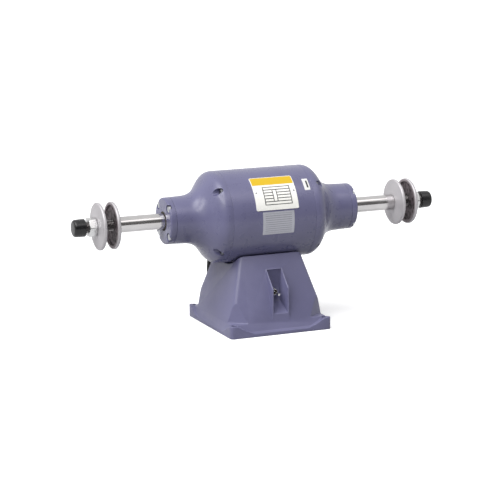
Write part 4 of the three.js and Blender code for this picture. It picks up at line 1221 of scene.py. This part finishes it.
@dataclass
class Hexagon:
    """A hexagonal head or nut along X about its own axis, its corners cut by round chamfers.

    The hexagon's radius is half the flats over the cosine of the angle to the nearest side's
    middle. A hexagonal row keeps it under the row's limit, and a round row is at its limit.
    """

    flats: float
    height: float
    face: float
    side: int = 1
    worn: float = 1.0
    corner_share: float = 1 / math.sqrt(3)
    ring_share: float = 0.46
    head_shares: tuple[tuple[float, ...], ...] = (
        (0, 0, ring_share, 0),
        (0.12, 0, ring_share, 0),
        (0.12, 0, 0.49, 1),
        (0.18, 0, 0.985 * corner_share, 1),
        (1, -0.24, corner_share, 1),
        (1, -0.12, (corner_share + ring_share) / 2, 1),
        (1, 0, ring_share, 0),
        (0.97, 0, 0.86 * ring_share, 0),
        (0.95, 0, 0, 0),
    )
    shank_point_share: float = 0.8
    nut_ring_share: float = 0.475
    nut_drop_share: float = 0.58
    bore_ease_share: float = 0.105

    def body(self, name: str, rows: Sequence[Sequence[float]], closed: bool, facets: int) -> Piece:
        """Makes the piece.

        Args:
            name: The piece's name.
            rows: Height over the face, limit of the radius, and 1 where the row is hexagonal.
            closed: Whether the last row joins the first, as round a bore.
            facets: Steps round the axis, a multiple of 12.

        Returns:
            The piece.
        """
        along, limit, hexagonal = np.array(rows, float).T[..., None]
        turn = np.linspace(0, 2 * math.pi, facets, endpoint=False)
        hexagon = self.flats / 2 / np.cos(np.mod(turn, math.pi / 3) - math.pi / 6)
        radius = np.where(hexagonal > 0, np.minimum(hexagon, limit), limit)
        along = np.repeat(self.face + self.side * along, facets, axis=1)
        points = np.stack([along, radius * np.cos(turn), radius * np.sin(turn)], axis=-1)
        return Piece.grid(name, points, wrap_rows=closed, crease=24)

    def head(self, name: str, shank: float, length: float) -> Piece:
        """A head with a washer face and a dished top.

        A row of shares gives the share of the height, the share of the corner's reach over the
        ring that is added to it, the limit as a share of the flats, and the hexagon's mark.

        Args:
            name: The piece's name.
            shank: Radius of the shank behind the face.
            length: Length of the shank.

        Returns:
            The bolt or screw.
        """
        point = self.shank_point_share * shank
        rows = [(-length, 0, 0), (-length, point, 0), (shank - point - length, shank, 0), (0, shank, 0)]
        chamfer = (self.corner_share - self.ring_share) * self.flats
        high, cut, wide, hexagonal = np.array(self.head_shares).T
        top = np.column_stack([high * self.height + cut * chamfer, wide * self.flats, hexagonal])
        return self.body(name, [*rows, *top], False, 72)

    def nut(self, name: str, bore: float) -> Piece:
        """A nut with round chamfers at both ends and at its bore.

        Args:
            name: The piece's name.
            bore: Radius of its bore.

        Returns:
            The nut.
        """
        corner, ring = self.worn * self.corner_share * self.flats, self.nut_ring_share * self.flats
        ease, drop = self.bore_ease_share * bore, self.nut_drop_share * (corner - ring)
        near = [
            (ease, bore, 0),
            (0, bore + ease, 0),
            (0, ring, 0),
            (drop / 2, (corner + ring) / 2, 1),
            (drop, corner, 1),
        ]
        far = [(self.height - along, radius, mark) for along, radius, mark in reversed(near)]
        return self.body(name, [*near, (self.height / 2, corner, 1), *far], True, 144)


@dataclass
class MotorHousing:
    """Shell, flared end bells with bolt pockets, bearing caps and their fasteners."""

    wall: float = 3 * MM
    shell_half: float = 80 * MM
    edge: float = 0.5 * MM
    cast_edge: float = 0.6 * MM
    seam: float = 0.06 * MM
    rim_length: float = 6 * MM
    lip_length: float = 5 * MM
    flare_end: float = 150 * MM
    flare_handles: Range = (0.41, 0.34)
    boss_radius: float = 42.2 * MM
    boss_swell: float = 0.8 * MM
    boss_end: float = 171.5 * MM
    hollow_radii: Range = (64 * MM, 34 * MM)
    bore_radius: float = 31.3 * MM
    shoulder: float = 150 * MM
    shoulder_bore: float = 23 * MM
    shoulder_thickness: float = 5 * MM
    cap_thickness: float = 12 * MM
    cap_round: float = 3.2 * MM
    cap_skin: float = 6.5 * MM
    spigot_radius: float = 31 * MM
    spigot_hollow: float = 24.3 * MM
    spigot_end: float = 166.6 * MM
    spigot_round: float = 1 * MM
    shaft_bore: float = 14.9 * MM
    groove_width: float = 2.6 * MM
    groove_depth: float = 1 * MM
    felt_width: float = 2.5 * MM
    felt_depth: float = 0.9 * MM
    screw_circle: float = 35.6 * MM
    screw_pocket: float = 7.6 * MM
    screw_pocket_round: float = 1.2 * MM
    screw_pocket_depth: float = 5.5 * MM
    screw_pocket_run: float = 3 * MM
    screw_flats: float = 10.5 * MM
    screw_height: float = 4.4 * MM
    screw_radius: float = 2.8 * MM
    screw_length: float = 17 * MM
    bolt_circle: float = 76.5 * MM
    bolt_pocket: float = 6.7 * MM
    bolt_pocket_round: float = 2 * MM
    bolt_pocket_run: float = 4 * MM
    bolt_seat: float = 90 * MM
    bolt_flats: float = 9.5 * MM
    bolt_height: float = 4.6 * MM
    bolt_nut_height: float = 4 * MM
    bolt_tail: float = 1.5 * MM
    bolt_radius: float = 2.4 * MM
    corners: tuple[float, ...] = tuple(math.radians(angle) for angle in (45, 135, 225, 315))

    @property
    def cap_end(self) -> float:
        """Place of the right cap's outer face."""
        return self.boss_end + self.cap_thickness

    def at_corner(self, side: Side, corner: float, circle: float) -> Matrix:
        """To a corner on a circle round the axis; the left end is turned half round Z."""
        return Matrix.Translation((0, side * circle * math.cos(corner), AXIS + circle * math.sin(corner)))

    def pockets(
        self, side: Side, circle: float, radius: float, ease: float, floor: float, end: float
    ) -> list[Piece]:
        """Round tools that cut a pocket at each corner.

        Args:
            side: The end of the motor.
            circle: Radius of the circle that the pockets lie on.
            radius: Radius of a pocket.
            ease: Rounding of its floor's edge.
            floor: Place of its floor.
            end: Place of the tool's far end.

        Returns:
            The tools.
        """
        profile = rounded([(floor, 0, 0), (floor, radius, ease), (end, radius, 0), (end, 0, 0)])
        return [
            Piece.revolve("pocket", profile, side=side).moved(self.at_corner(side, corner, circle))
            for corner in self.corners
        ]

    def shell(self) -> Piece:
        """The rolled steel tube between the bells, its edges eased."""
        half, inner, outer = self.shell_half, MOTOR_RADIUS - self.wall, MOTOR_RADIUS
        corners = ((-half, inner), (-half, outer), (half, outer), (half, inner))
        profile = rounded([(*corner, self.edge) for corner in corners], closed=True)
        return Piece.revolve("rolled_shell", profile, AXIS, 192, closed=True)

    def bell(self, side: Side) -> Piece:
        """A cast bell: rim, flare on a cubic curve and boss, with a pocket for each through bolt."""
        rim, lip = self.shell_half + self.seam, self.shell_half - self.lip_length
        lip_radius, outer = MOTOR_RADIUS - self.wall - GAP, MOTOR_RADIUS
        start, swelled = self.shell_half + self.rim_length, self.boss_radius + self.boss_swell
        shoulder, floor = self.shoulder, self.shoulder - self.shoulder_thickness
        mouth, end = self.hollow_radii
        flare = flared([start, outer], [self.flare_end, swelled], self.flare_handles, 44)
        hollow = flared([start, mouth], [floor, end], self.flare_handles, 12)
        boss = [
            (self.flare_end, swelled, 0),
            (self.boss_end, self.boss_radius, self.cast_edge),
            (self.boss_end, self.bore_radius, 0),
        ]
        profile = np.concatenate([
            [[lip, mouth], [lip, lip_radius]],
            rounded([(rim, lip_radius, 0), (rim, outer, self.cast_edge), (start, outer, 0)])[:-1],
            flare,
            rounded(boss)[1:],
            [[shoulder, self.bore_radius], [shoulder, self.shoulder_bore], [floor, self.shoulder_bore]],
            hollow[::-1],
        ])
        made = Piece.revolve(f"{side.word}_bell_casting", profile, AXIS, 192, closed=True, side=side)
        pocket = self.bolt_circle, self.bolt_pocket, self.bolt_pocket_round
        run = self.bolt_seat, self.flare_end + self.bolt_pocket_run
        return made.carved(self.pockets(side, *pocket, *run))

    def cap(self, side: Side) -> Piece:
        """A hollow bearing cap: spigot, rounded rim, felt groove and an open notch for each screw."""
        inner, outer, bore = self.boss_end + GAP, self.cap_end, self.shaft_bore
        groove = bore + self.groove_width
        profile = rounded(
            [
                (outer - self.cap_skin, bore, 0),
                (outer - self.cap_skin, self.spigot_hollow, self.spigot_round),
                (self.spigot_end, self.spigot_hollow, 0),
                (self.spigot_end, self.spigot_radius, self.edge),
                (inner, self.spigot_radius, 0),
                (inner, self.boss_radius, self.cast_edge),
                (outer, self.boss_radius, self.cap_round),
                (outer, groove, self.edge),
                (outer - self.groove_depth, groove, 0),
                (outer - self.groove_depth, bore, 0),
            ],
            closed=True,
        )
        made = Piece.revolve(f"{side.word}_cap_casting", profile, AXIS, 144, closed=True, side=side)
        pocket = self.screw_circle, self.screw_pocket, self.screw_pocket_round
        run = outer - self.screw_pocket_depth, outer + self.screw_pocket_run
        return made.carved(self.pockets(side, *pocket, *run))

    def felt(self, side: Side) -> Piece:
        """The felt ring in the cap's groove, round the spindle."""
        low, high = self.shaft_bore - GAP, self.shaft_bore + self.felt_width
        start, end = self.cap_end - self.felt_depth, self.cap_end + GAP
        corners = [(start, low, 0), (start, high, 0), (end, high, self.edge), (end, low, self.edge)]
        profile = rounded(corners, closed=True)
        return Piece.revolve(f"{side.word}_felt_ring", profile, AXIS, 96, closed=True, side=side)

    def cap_screw(self, side: Side, index: int, corner: float) -> Piece:
        """A screw that holds a cap, in its notch."""
        face = side * (self.cap_end - self.screw_pocket_depth + GAP)
        hexagon = Hexagon(self.screw_flats, self.screw_height, face, side)
        made = hexagon.head(f"{side.word}_cap_screw_{index}", self.screw_radius, self.screw_length)
        return made.moved(self.at_corner(side, corner, self.screw_circle))

    def through_bolts(self, finishes: Finishes) -> None:
        """Long bolts with their heads at the left and nuts at the right."""
        seat = self.bolt_seat + GAP
        length = 2 * seat + self.bolt_nut_height + self.bolt_tail
        for index, corner in enumerate(self.corners, 1):
            place = self.at_corner(Side.RIGHT, corner, self.bolt_circle)
            head = Hexagon(self.bolt_flats, self.bolt_height, -seat, Side.LEFT)
            bolt = head.head(f"long_bolt_{index}", self.bolt_radius, length).moved(place)
            finishes.on(bolt, Skin.DULL_BOLT, Body.STAND, f"through_bolt_{index}")
            hexagon = Hexagon(self.bolt_flats, self.bolt_nut_height, seat)
            nut = hexagon.nut(f"bolt_nut_{index}", self.bolt_radius + GAP).moved(place)
            finishes.on(nut, Skin.DULL_BOLT, Body.STAND, f"through_bolt_nut_{index}")

    def build(self, finishes: Finishes) -> None:
        """Makes the housing and its fasteners."""
        finishes.on(self.shell(), Skin.ENAMEL, Body.STAND, "motor_shell")
        for side in Side:
            word = side.word
            finishes.on(self.bell(side), Skin.ENAMEL, Body.STAND, f"{word}_end_bell")
            finishes.on(self.cap(side), Skin.ENAMEL, Body.STAND, f"{word}_bearing_cap")
            finishes.on(self.felt(side), Skin.FELT, Body.STAND)
            for index, corner in enumerate(self.corners, 1):
                screw = self.cap_screw(side, index, corner)
                finishes.on(screw, Skin.ZINC_PLATE, Body.STAND, f"{word}_bearing_cap_screw_{index}")
        self.through_bolts(finishes)


@dataclass
class Spindle:
    """Shaft with its two threads, flanges, clamp nuts and tip caps."""

    radius: float = 14.3 * MM
    journal: float = 14.7 * MM
    seat: float = 17.5 * MM
    journal_start: float = 150 * MM
    journal_end: float = 166.6 * MM
    shoulder: float = 272.7 * MM
    shoulder_edge: float = 0.9 * MM
    undercut_depth: float = 0.4 * MM
    undercut_width: float = 1 * MM
    edge: float = 0.5 * MM
    thread_radius: float = 9.5 * MM
    thread_end: float = 347 * MM
    thread_pitch: float = 2.54 * MM
    thread_depth: float = 1.35 * MM
    thread_steps: int = 10
    thread_facets: int = 60
    saw_slope: float = 2.5
    saw_crest: float = 0.125
    chamfer: float = 1.2 * MM
    flange_radius: float = 42.5 * MM
    rim_width: float = 6 * MM
    rim_thickness: float = 6 * MM
    rim_round: float = 2.4 * MM
    rim_edge: float = 0.7 * MM
    rough_rim_share: float = 0.7
    recess: float = 3.5 * MM
    recess_round: float = 1.2 * MM
    recess_bore_edge: float = 0.3 * MM
    rough_lip: float = 0.4 * MM
    hub_radius: float = 18 * MM
    hub_rise: float = 3 * MM
    hub_round: float = 4 * MM
    wheel_gap: float = 19.4 * MM
    nut_flats: float = 31.75 * MM
    nut_height: float = 15 * MM
    nut_worn: float = 0.97
    tip_end: float = 352.5 * MM
    tip_length: float = 21.5 * MM
    tip_radius: float = 16 * MM
    tip_floor_round: float = 1 * MM
    tip_lip_rounds: Range = (0.6 * MM, 0.8 * MM)
    tip_taper_share: float = 0.4
    tip_radius_shares: Range = (0.98, 0.94)
    tip_rounds: Range = (6 * MM, 5.5 * MM)
    tip_dome: float = 0.3 * MM

    @property
    def bore(self) -> float:
        """Radius of the bores that run on the thread."""
        return self.thread_radius + GAP

    def thread(self, along: np.ndarray, turn: np.ndarray) -> np.ndarray:
        """Radius of the thread.

        It falls by the depth times a flat-topped saw of the place along X in pitches less the
        turn, fades in from the shoulder and is cut back by the end's chamfer.

        Args:
            along: Places along X on the right end.
            turn: Angles round the axis.

        Returns:
            Radii, as places by angles.
        """
        over = np.maximum(along - (self.thread_end - self.chamfer), 0)
        fade = np.clip((along - along[0]) / self.thread_pitch, 0, 1)[:, None]
        phase = np.mod(along[:, None] / self.thread_pitch - turn[None] / (2 * math.pi), 1)
        saw = np.clip(self.saw_slope * np.abs(phase - 0.5) - self.saw_crest, 0, 1)
        cut = self.thread_radius - self.thread_depth * saw * fade
        return np.minimum(cut, self.thread_radius - over[:, None])

    def shaft(self) -> Piece:
        """The shaft: the right half's rows and their mirror image, whose thread is left-handed."""
        start, groove = self.shoulder + self.undercut_width, self.thread_radius - self.undercut_depth
        body = rounded([
            (0, self.seat, 0),
            (self.journal_start, self.seat, self.edge),
            (self.journal_start, self.journal, 0),
            (self.journal_end, self.journal, 0),
            (self.journal_end, self.radius, 0),
            (self.shoulder, self.radius, self.shoulder_edge),
            (self.shoulder, groove, self.edge),
            (start, groove, 0),
        ])
        count = round((self.thread_end - start) / self.thread_pitch * self.thread_steps)
        along = np.linspace(start, self.thread_end, count)
        turn = np.linspace(0, 2 * math.pi, self.thread_facets, endpoint=False)
        plain = np.repeat(body[:, 1:], len(turn), axis=1)
        half = np.concatenate([plain, self.thread(along, turn), np.zeros((1, len(turn)))])
        place = np.concatenate([body[:, 0], along, [self.thread_end]])
        radius = np.concatenate([half[::-1], half[1:]])
        travel = np.repeat(np.concatenate([-place[::-1], place[1:]])[:, None], len(turn), axis=1)
        points = np.stack([travel, radius * np.cos(turn), AXIS + radius * np.sin(turn)], axis=-1)
        return Piece.grid("threaded_spindle", points, crease=40)

    def flange(self, name: str, rim: float, outward: int, side: Side, finishes: Finishes) -> Piece:
        """A wheel flange: turned rim, conical back and rough hollow on the wheel side.

        Args:
            name: The flange's name.
            rim: Place of its wheel side on the +X end.
            outward: 1 when that side faces away from the motor, -1 when it faces it.
            side: The end that it is on.
            finishes: Gives its two materials.

        Returns:
            The flange.
        """
        hollow, outer = self.flange_radius - self.rim_width, self.flange_radius
        back = self.rim_thickness + self.hub_rise
        corners = (
            (self.recess, self.bore, self.recess_bore_edge),
            (self.recess, hollow, self.recess_round),
            (0, hollow, self.rim_edge),
            (0, outer, self.rim_round),
            (self.rim_thickness, outer, self.rim_round),
            (back, self.hub_radius, self.hub_round),
            (back, self.bore, self.edge),
        )
        profile = rounded([(rim - outward * depth, *rest) for depth, *rest in corners], closed=True)
        made = Piece.revolve(name, profile, AXIS, 160, closed=True, side=side)
        x, y, z = made.face_middles().T
        rough = np.hypot(y, z - AXIS) < outer - self.rough_rim_share * self.rim_round
        rough &= outward * (rim - side * x) < self.recess + self.rough_lip
        finishes.split(made, Skin.MACHINED_FLANGE, Skin.FLANGE_HOLLOW, rough)
        return made

    def tip_cap(self, side: Side) -> Piece:
        """A soft cap over the thread's end: a plain cup whose closed end is flat with a round edge."""
        inner, end, wide = self.tip_end - self.tip_length, self.tip_end, self.tip_radius
        floor = self.thread_end + GAP
        (lip, brim), (waist, crown) = self.tip_lip_rounds, self.tip_radius_shares
        profile = rounded(
            [
                (floor, 0, 0),
                (floor, self.bore, self.tip_floor_round),
                (inner, self.bore, lip),
                (inner, wide, brim),
                (end - self.tip_taper_share * self.tip_length, wide * waist, self.tip_rounds[0]),
                (end - self.tip_dome, wide * crown, self.tip_rounds[1]),
                (end, 0, 0),
            ],
            steps=8,
        )
        return Piece.revolve(f"{side.word}_vinyl_tip", profile, AXIS, 96, side=side)

    def build(self, finishes: Finishes) -> None:
        """Makes the spindle and what is on it."""
        shaft = self.shaft()
        threaded = np.abs(shaft.face_middles()[:, 0]) > self.shoulder
        finishes.split(shaft, Skin.GROUND_STEEL, Skin.OILED_THREAD, threaded)
        ends = (f"{side.word}_threaded_end" for side in Side)
        finishes.on(shaft, Skin.GROUND_STEEL, Body.SPINDLE, "shaft", *ends)
        thickness = self.hub_rise + self.rim_thickness
        inner_rim = self.shoulder + GAP + thickness
        outer_rim = inner_rim + self.wheel_gap
        face = outer_rim + thickness + GAP
        for side in Side:
            word = side.word
            inner = self.flange(f"{word}_inner_flange_turned", inner_rim, 1, side, finishes)
            outer = self.flange(f"{word}_outer_flange_turned", outer_rim, -1, side, finishes)
            hexagon = Hexagon(self.nut_flats, self.nut_height, side * face, side, self.nut_worn)
            nut = hexagon.nut(f"{word}_wheel_nut", self.bore).moved(Matrix.Translation((0, 0, AXIS)))
            finishes.on(inner, Skin.MACHINED_FLANGE, Body.SPINDLE, f"{word}_inner_flange")
            for piece, skin, name in (
                (outer, Skin.MACHINED_FLANGE, f"{word}_clamp_flange"),
                (nut, Skin.BRIGHT_NUT, f"{word}_clamp_nut"),
                (self.tip_cap(side), Skin.SOFT_VINYL, f"{word}_tip_cap"),
            ):
                finishes.on(piece, skin, Body(name), name)


@dataclass
class CurvedSheet:
    """A thin sheet with round corners, rolled round the motor's front.

    A share of the way from its middle to its rounded outline gives a flat place, whose width runs
    along X and whose height is an angle up from the front, at a radius from the axis.
    """

    name: str
    left: float
    right: float
    low: float
    high: float
    thickness: float
    inner: float
    corner: float
    rings: int = 14
    corner_steps: int = 8
    side_steps: int = 14
    ease_share: float = 0.3
    most_ease: float = 0.2 * MM

    def outline(self) -> np.ndarray:
        """The rounded outline about the sheet's middle, flat: quarter turns and straight sides."""
        half = np.array([self.right - self.left, self.inner * (self.high - self.low)]) / 2
        arcs = []
        for quarter, signs in enumerate(((1, 1), (-1, 1), (-1, -1), (1, -1))):
            turn = math.pi / 2 * (quarter + np.linspace(0, 1, self.corner_steps + 1))
            arc = self.corner * np.column_stack([np.cos(turn), np.sin(turn)])
            arcs.append(signs * (half - self.corner) + arc)
        share = np.linspace(0, 1, self.side_steps + 1)[1:-1, None]
        rows = []
        for arc, following in zip(arcs, arcs[1:] + arcs[:1]):
            rows += [arc, arc[-1] + (following[0] - arc[-1]) * share]
        return np.concatenate(rows)

    def build(self) -> Piece:
        """The closed sheet, with a UV map over its outline's box."""
        ease = min(self.ease_share * self.thickness, self.most_ease)
        shares = np.linspace(0, 1, self.rings)
        lift = [*[self.thickness] * self.rings, self.thickness - ease, *[0] * self.rings]
        shrink = np.concatenate([shares, [1, 1], shares[::-1][1:]])
        shrink[self.rings - 1] = 1 - ease / (self.right - self.left)
        across, up = np.moveaxis(shrink[:, None, None] * self.outline(), -1, 0)
        angle = (self.low + self.high) / 2 + up / self.inner
        radius = self.inner + np.array(lift)[:, None]
        along = (self.left + self.right) / 2 + across
        points = np.stack([along, -radius * np.cos(angle), AXIS + radius * np.sin(angle)], axis=-1)
        return self.mapped(Piece.grid(self.name, points, crease=50))

    def mapped(self, made: Piece) -> Piece:
        """Reads each corner's UV off its vertex: the place along, and the angle up from the front."""
        places = np.zeros(3 * len(made.data.vertices))
        made.data.vertices.foreach_get("co", places)
        x, y, z = places.reshape(-1, 3).T
        across = (x - self.left) / (self.right - self.left)
        up = (np.arctan2(z - AXIS, -y) - self.low) / (self.high - self.low)
        corner = np.zeros(len(made.data.loops), dtype=np.int32)
        made.data.loops.foreach_get("vertex_index", corner)
        layer = made.data.uv_layers.new(name="UVMap")
        layer.data.foreach_set("uv", np.column_stack([across, up])[corner].astype(np.float32).ravel())
        return made


@dataclass
class FrontPlates:
    """Nameplate with its two pins, and the two labels beside it."""

    plate_x: Range = (-36 * MM, 46 * MM)
    plate_angles: Range = (math.radians(13), math.radians(59))
    plate_thickness: float = 0.8 * MM
    plate_corner: float = 2.5 * MM
    form_x: Range = (-24.5 * MM, 36.5 * MM)
    form_angles: Range = (math.radians(-17.5), math.radians(11))
    form_corner: float = 1 * MM
    bar_x: Range = (64 * MM, 75 * MM)
    bar_angles: Range = (math.radians(35), math.radians(52))
    bar_corner: float = 0.8 * MM
    label_thickness: float = 0.15 * MM
    glue: float = 0.02 * MM
    pin_inset: float = 4.5 * MM
    pin_radius: float = 1.7 * MM
    pin_height: float = 0.7 * MM
    pin_dome_share: float = 0.9
    pin_shank: float = 1 * MM
    pin_depth: float = 3 * MM

    def pin(self, index: int, along: float) -> Piece:
        """A drive pin with a domed head, whose height falls with the square of the radius."""
        head = MOTOR_RADIUS + self.plate_thickness + 2 * GAP
        share = np.linspace(1, 0, 9)
        rise = self.pin_height * (1 - self.pin_dome_share * share**2)
        dome = np.column_stack([head + rise, self.pin_radius * share])
        root, shank = head - self.pin_depth, self.pin_shank
        profile = np.concatenate([[[root, 0], [root, shank], [head, shank]], dome])
        up = Matrix.Rotation(-sum(self.plate_angles) / 2, 4, "Y")
        place = Matrix.Translation((along, 0, AXIS)) @ Matrix.Rotation(-math.pi / 2, 4, "Z") @ up
        return Piece.revolve(f"plate_pin_{index}", profile, facets=32).moved(place)

    def build(self, finishes: Finishes) -> None:
        """Makes the plate, its pins and the labels."""
        plate = (self.plate_thickness, MOTOR_RADIUS + GAP)
        label = (self.label_thickness, MOTOR_RADIUS + self.glue)
        rows = (
            ("printed_nameplate", self.plate_x, self.plate_angles, plate, self.plate_corner),
            ("grey_label", self.form_x, self.form_angles, label, self.form_corner),
            ("white_label", self.bar_x, self.bar_angles, label, self.bar_corner),
        )
        nameplate, *labels = (
            CurvedSheet(name, *x, *angles, *depth, corner) for name, x, angles, depth, corner in rows
        )
        finishes.on(nameplate.build(), Skin.NAMEPLATE, Body.STAND, "nameplate")
        left, right = self.plate_x
        for index, along in enumerate((left + self.pin_inset, right - self.pin_inset), 1):
            finishes.on(self.pin(index, along), Skin.ZINC_PLATE, Body.STAND)
        for sheet, skin in zip(labels, (Skin.GREY_LABEL, Skin.WHITE_LABEL)):
            finishes.on(sheet.build(), skin, Body.STAND)


@dataclass
class Pedestal:
    """The tapered cast pedestal, with its edges eased as a casting's are."""

    ease: float = 1.25 * MM
    steps: int = 3
    bevel_from: float = math.radians(24)
    flat_within: float = math.radians(0.6)
    weld: float = 0.005 * MM
    crease: float = 35.0

    def casting(self, node: bpy.types.Object) -> Piece:
        """A copy of the CAD solid, merged into flat faces, whose edges are then rounded."""
        made = Piece("pedestal_casting", node.data.copy())
        made.data.materials.clear()
        work = made.opened()
        bmesh.ops.remove_doubles(work, verts=work.verts, dist=self.weld)
        bmesh.ops.dissolve_limit(
            work,
            angle_limit=self.flat_within,
            verts=work.verts,
            edges=work.edges,
            use_dissolve_boundaries=False,
        )
        work.to_mesh(made.data)
        work.free()
        bevel = made.object.modifiers.new("cast_edges", "BEVEL")
        bevel.width, bevel.segments = self.ease, self.steps
        bevel.limit_method, bevel.angle_limit = "ANGLE", self.bevel_from
        bevel.use_clamp_overlap = False
        bevel.miter_outer = "MITER_ARC"
        return made.baked().shaded(self.crease)

    def build(self, finishes: Finishes, nodes: dict[str, bpy.types.Object]) -> None:
        """Makes the casting."""
        finishes.on(self.casting(nodes["pedestal"]), Skin.CAST_ENAMEL, Body.STAND, "pedestal")


@dataclass
class ToggleSwitch:
    """Bushing, nut and ball lever of the switch, drawn outwards along X and turned to the front."""

    place: tuple[float, float, float] = (2.9 * MM, -56.845 * MM, 68.5 * MM)
    tilt: float = math.radians(8.963)
    bushing: float = 5.9 * MM
    reach: float = 13.5 * MM
    bore: float = 4.2 * MM
    bore_depth: float = 9.5 * MM
    bore_floor_round: float = 0.8 * MM
    thread_pitch: float = 0.8 * MM
    thread_depth: float = 0.22 * MM
    mouth_length: float = 1 * MM
    mouth_drops: Range = (0.2 * MM, 0.9 * MM)
    mouth_rounds: Range = (0.3 * MM, 0.4 * MM)
    wall: float = 5 * MM
    root: float = 2 * MM
    boot_depths: Range = (1.7 * MM, 0.6 * MM)
    boot_width: float = 1.2 * MM
    boot_gap: float = 0.1 * MM
    boot_round: float = 0.3 * MM
    body: tuple[float, float, float] = (26 * MM, 30 * MM, 16 * MM)
    body_edge: float = 0.6 * MM
    body_edge_share: float = 0.96
    body_power: float = 0.22
    nut_flats: float = 15 * MM
    nut_height: float = 2.5 * MM
    pivot: float = 8.3 * MM
    lever_length: float = 24.9 * MM
    ball: float = 3.8 * MM
    rest: float = math.radians(11)
    lever_shares: tuple[tuple[float, ...], ...] = (
        (-0.153, 0, 0),
        (-0.14, 0.62, 1.4),
        (0, 1.02, 3),
        (0.11, 0.62, 1.2),
        (0.15, 0.36, 1.2),
        (0.7, 0.36, 8),
        (0.84, 0.66, 4),
        (0.965, 0.66, 2.2),
        (1, 0.2, 0.8),
        (1, 0, 0),
    )

    def face_front(self, made: Piece) -> Piece:
        """Turns +X to -Y, tilts it with the pocket's back wall and sets it in place."""
        tilt = Matrix.Translation(self.place) @ Matrix.Rotation(-self.tilt, 4, "X")
        return made.moved(tilt @ Matrix.Rotation(-math.pi / 2, 4, "Z"))

    def boot(self) -> Piece:
        """The brown ring in the bushing's mouth, clear of the lever's stem at both its limits."""
        start, mouth = (self.reach - depth for depth in self.boot_depths)
        outer, ease = self.bore - self.boot_gap, self.boot_round
        inner = outer - self.boot_width
        corners = [(start, inner, 0), (start, outer, 0), (mouth, outer, ease), (mouth, inner, ease)]
        return Piece.revolve("switch_boot", rounded(corners, closed=True), closed=True)

    def threaded_bushing(self) -> Piece:
        """The bushing, with a fine thread of rings that rise and fall as a sine along it."""
        reach, floor = self.reach, self.reach - self.bore_depth
        along = np.linspace(-self.wall, reach - self.mouth_length, 140)
        wave = np.cos(along / self.thread_pitch * 2 * math.pi)
        thread = np.column_stack([along, self.bushing - self.thread_depth + self.thread_depth * wave])
        first, second = (self.bushing - drop for drop in self.mouth_drops)
        mouth = rounded([
            (reach - self.mouth_length, first, 0),
            (reach, second, self.mouth_rounds[0]),
            (reach, self.bore, self.mouth_rounds[1]),
            (floor, self.bore, self.bore_floor_round),
            (floor, 0, 0),
        ])
        root = -self.wall - self.root
        profile = np.concatenate([[[root, 0], [root, self.bushing]], thread, mouth])
        return Piece.revolve("switch_bushing", profile, facets=64)

    def body_block(self) -> Piece:
        """The moulded body behind the wall, a box whose section is a squarish superellipse."""
        depth, wide, high = self.body
        edge, share = self.body_edge, self.body_edge_share
        scale = np.array([0, share, 1, 1, share, 0])
        along = -self.wall - GAP - np.array([0, 0, edge, depth - edge, depth, depth])
        y, x, z = squared_bar(along, wide / 2 * scale, high / 2 * scale, self.body_power, 64)
        return Piece.grid("switch_body", np.stack([x, y, z], axis=-1))

    def lever(self) -> Piece:
        """A bat lever: pivot ball, slim stem and a rounded tip, all on one smooth profile.

        A row gives shares of the lever's length and of the ball's radius, and a fillet in mm.
        """
        size = np.array([self.lever_length, self.ball, MM])
        made = Piece.revolve("bat_lever", rounded(np.array(self.lever_shares) * size, steps=8))
        return made.moved(Matrix.Translation((self.pivot, 0, 0)) @ Matrix.Rotation(self.rest, 4, "Y"))

    def build(self, finishes: Finishes) -> None:
        """Makes the switch."""
        body = self.body_block().joined("switch_body_and_boot", [self.boot()])
        ring = Hexagon(self.nut_flats, self.nut_height, GAP)
        for piece, skin, moving, nodes in (
            (body, Skin.PHENOLIC, Body.STAND, ("toggle_switch",)),
            (self.threaded_bushing(), Skin.BRIGHT_NUT, Body.STAND, ()),
            (ring.nut("bushing_nut", self.bushing + GAP), Skin.ZINC_PLATE, Body.STAND, ("switch_nut",)),
            (self.lever(), Skin.BRIGHT_NUT, Body.LEVER, ("switch_lever",)),
        ):
            finishes.on(self.face_front(piece), skin, moving, *nodes)


@dataclass
class InnerParts:
    """CAD nodes inside the motor and under the pedestal, which keep their meshes."""

    bearing_parts: tuple[str, ...] = ("bearing_outer_race", "bearing_inner_race", "bearing_balls_in_cage")
    plated: tuple[str, ...] = (
        "bottom_cover",
        "capacitor_strap",
        "bearing_wave_washer",
        "motor_bolt_1",
        "motor_bolt_2",
    )
    cover_screws: int = 4

    def build(self, finishes: Finishes, nodes: dict[str, bpy.types.Object]) -> None:
        """Gives every node its finish."""
        polished = [f"{side.word}_{part}" for side in Side for part in self.bearing_parts]
        screws = [f"bottom_cover_screw_{index}" for index in range(1, self.cover_screws + 1)]
        for names, skin in (
            (polished, Skin.GROUND_STEEL),
            ([*self.plated, *screws], Skin.ZINC_PLATE),
            (["stator_core", "rotor"], Skin.LAMINATIONS),
            (["stator_winding"], Skin.COPPER),
            (["start_capacitor"], Skin.CAPACITOR),
        ):
            finishes.on_nodes(nodes, names, skin)


def main() -> None:
    """Builds the studio and the machine's pieces in order."""
    logging.basicConfig(level=logging.INFO, format="%(name)s: %(message)s")
    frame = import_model()
    finishes = Finishes()
    Studio().build()
    SupplyCord().build(finishes)
    MotorHousing().build(finishes)
    Spindle().build(finishes)
    FrontPlates().build(finishes)
    Pedestal().build(finishes, frame["nodes"])
    ToggleSwitch().build(finishes)
    InnerParts().build(finishes, frame["nodes"])


if __name__ == "__main__":
    main()
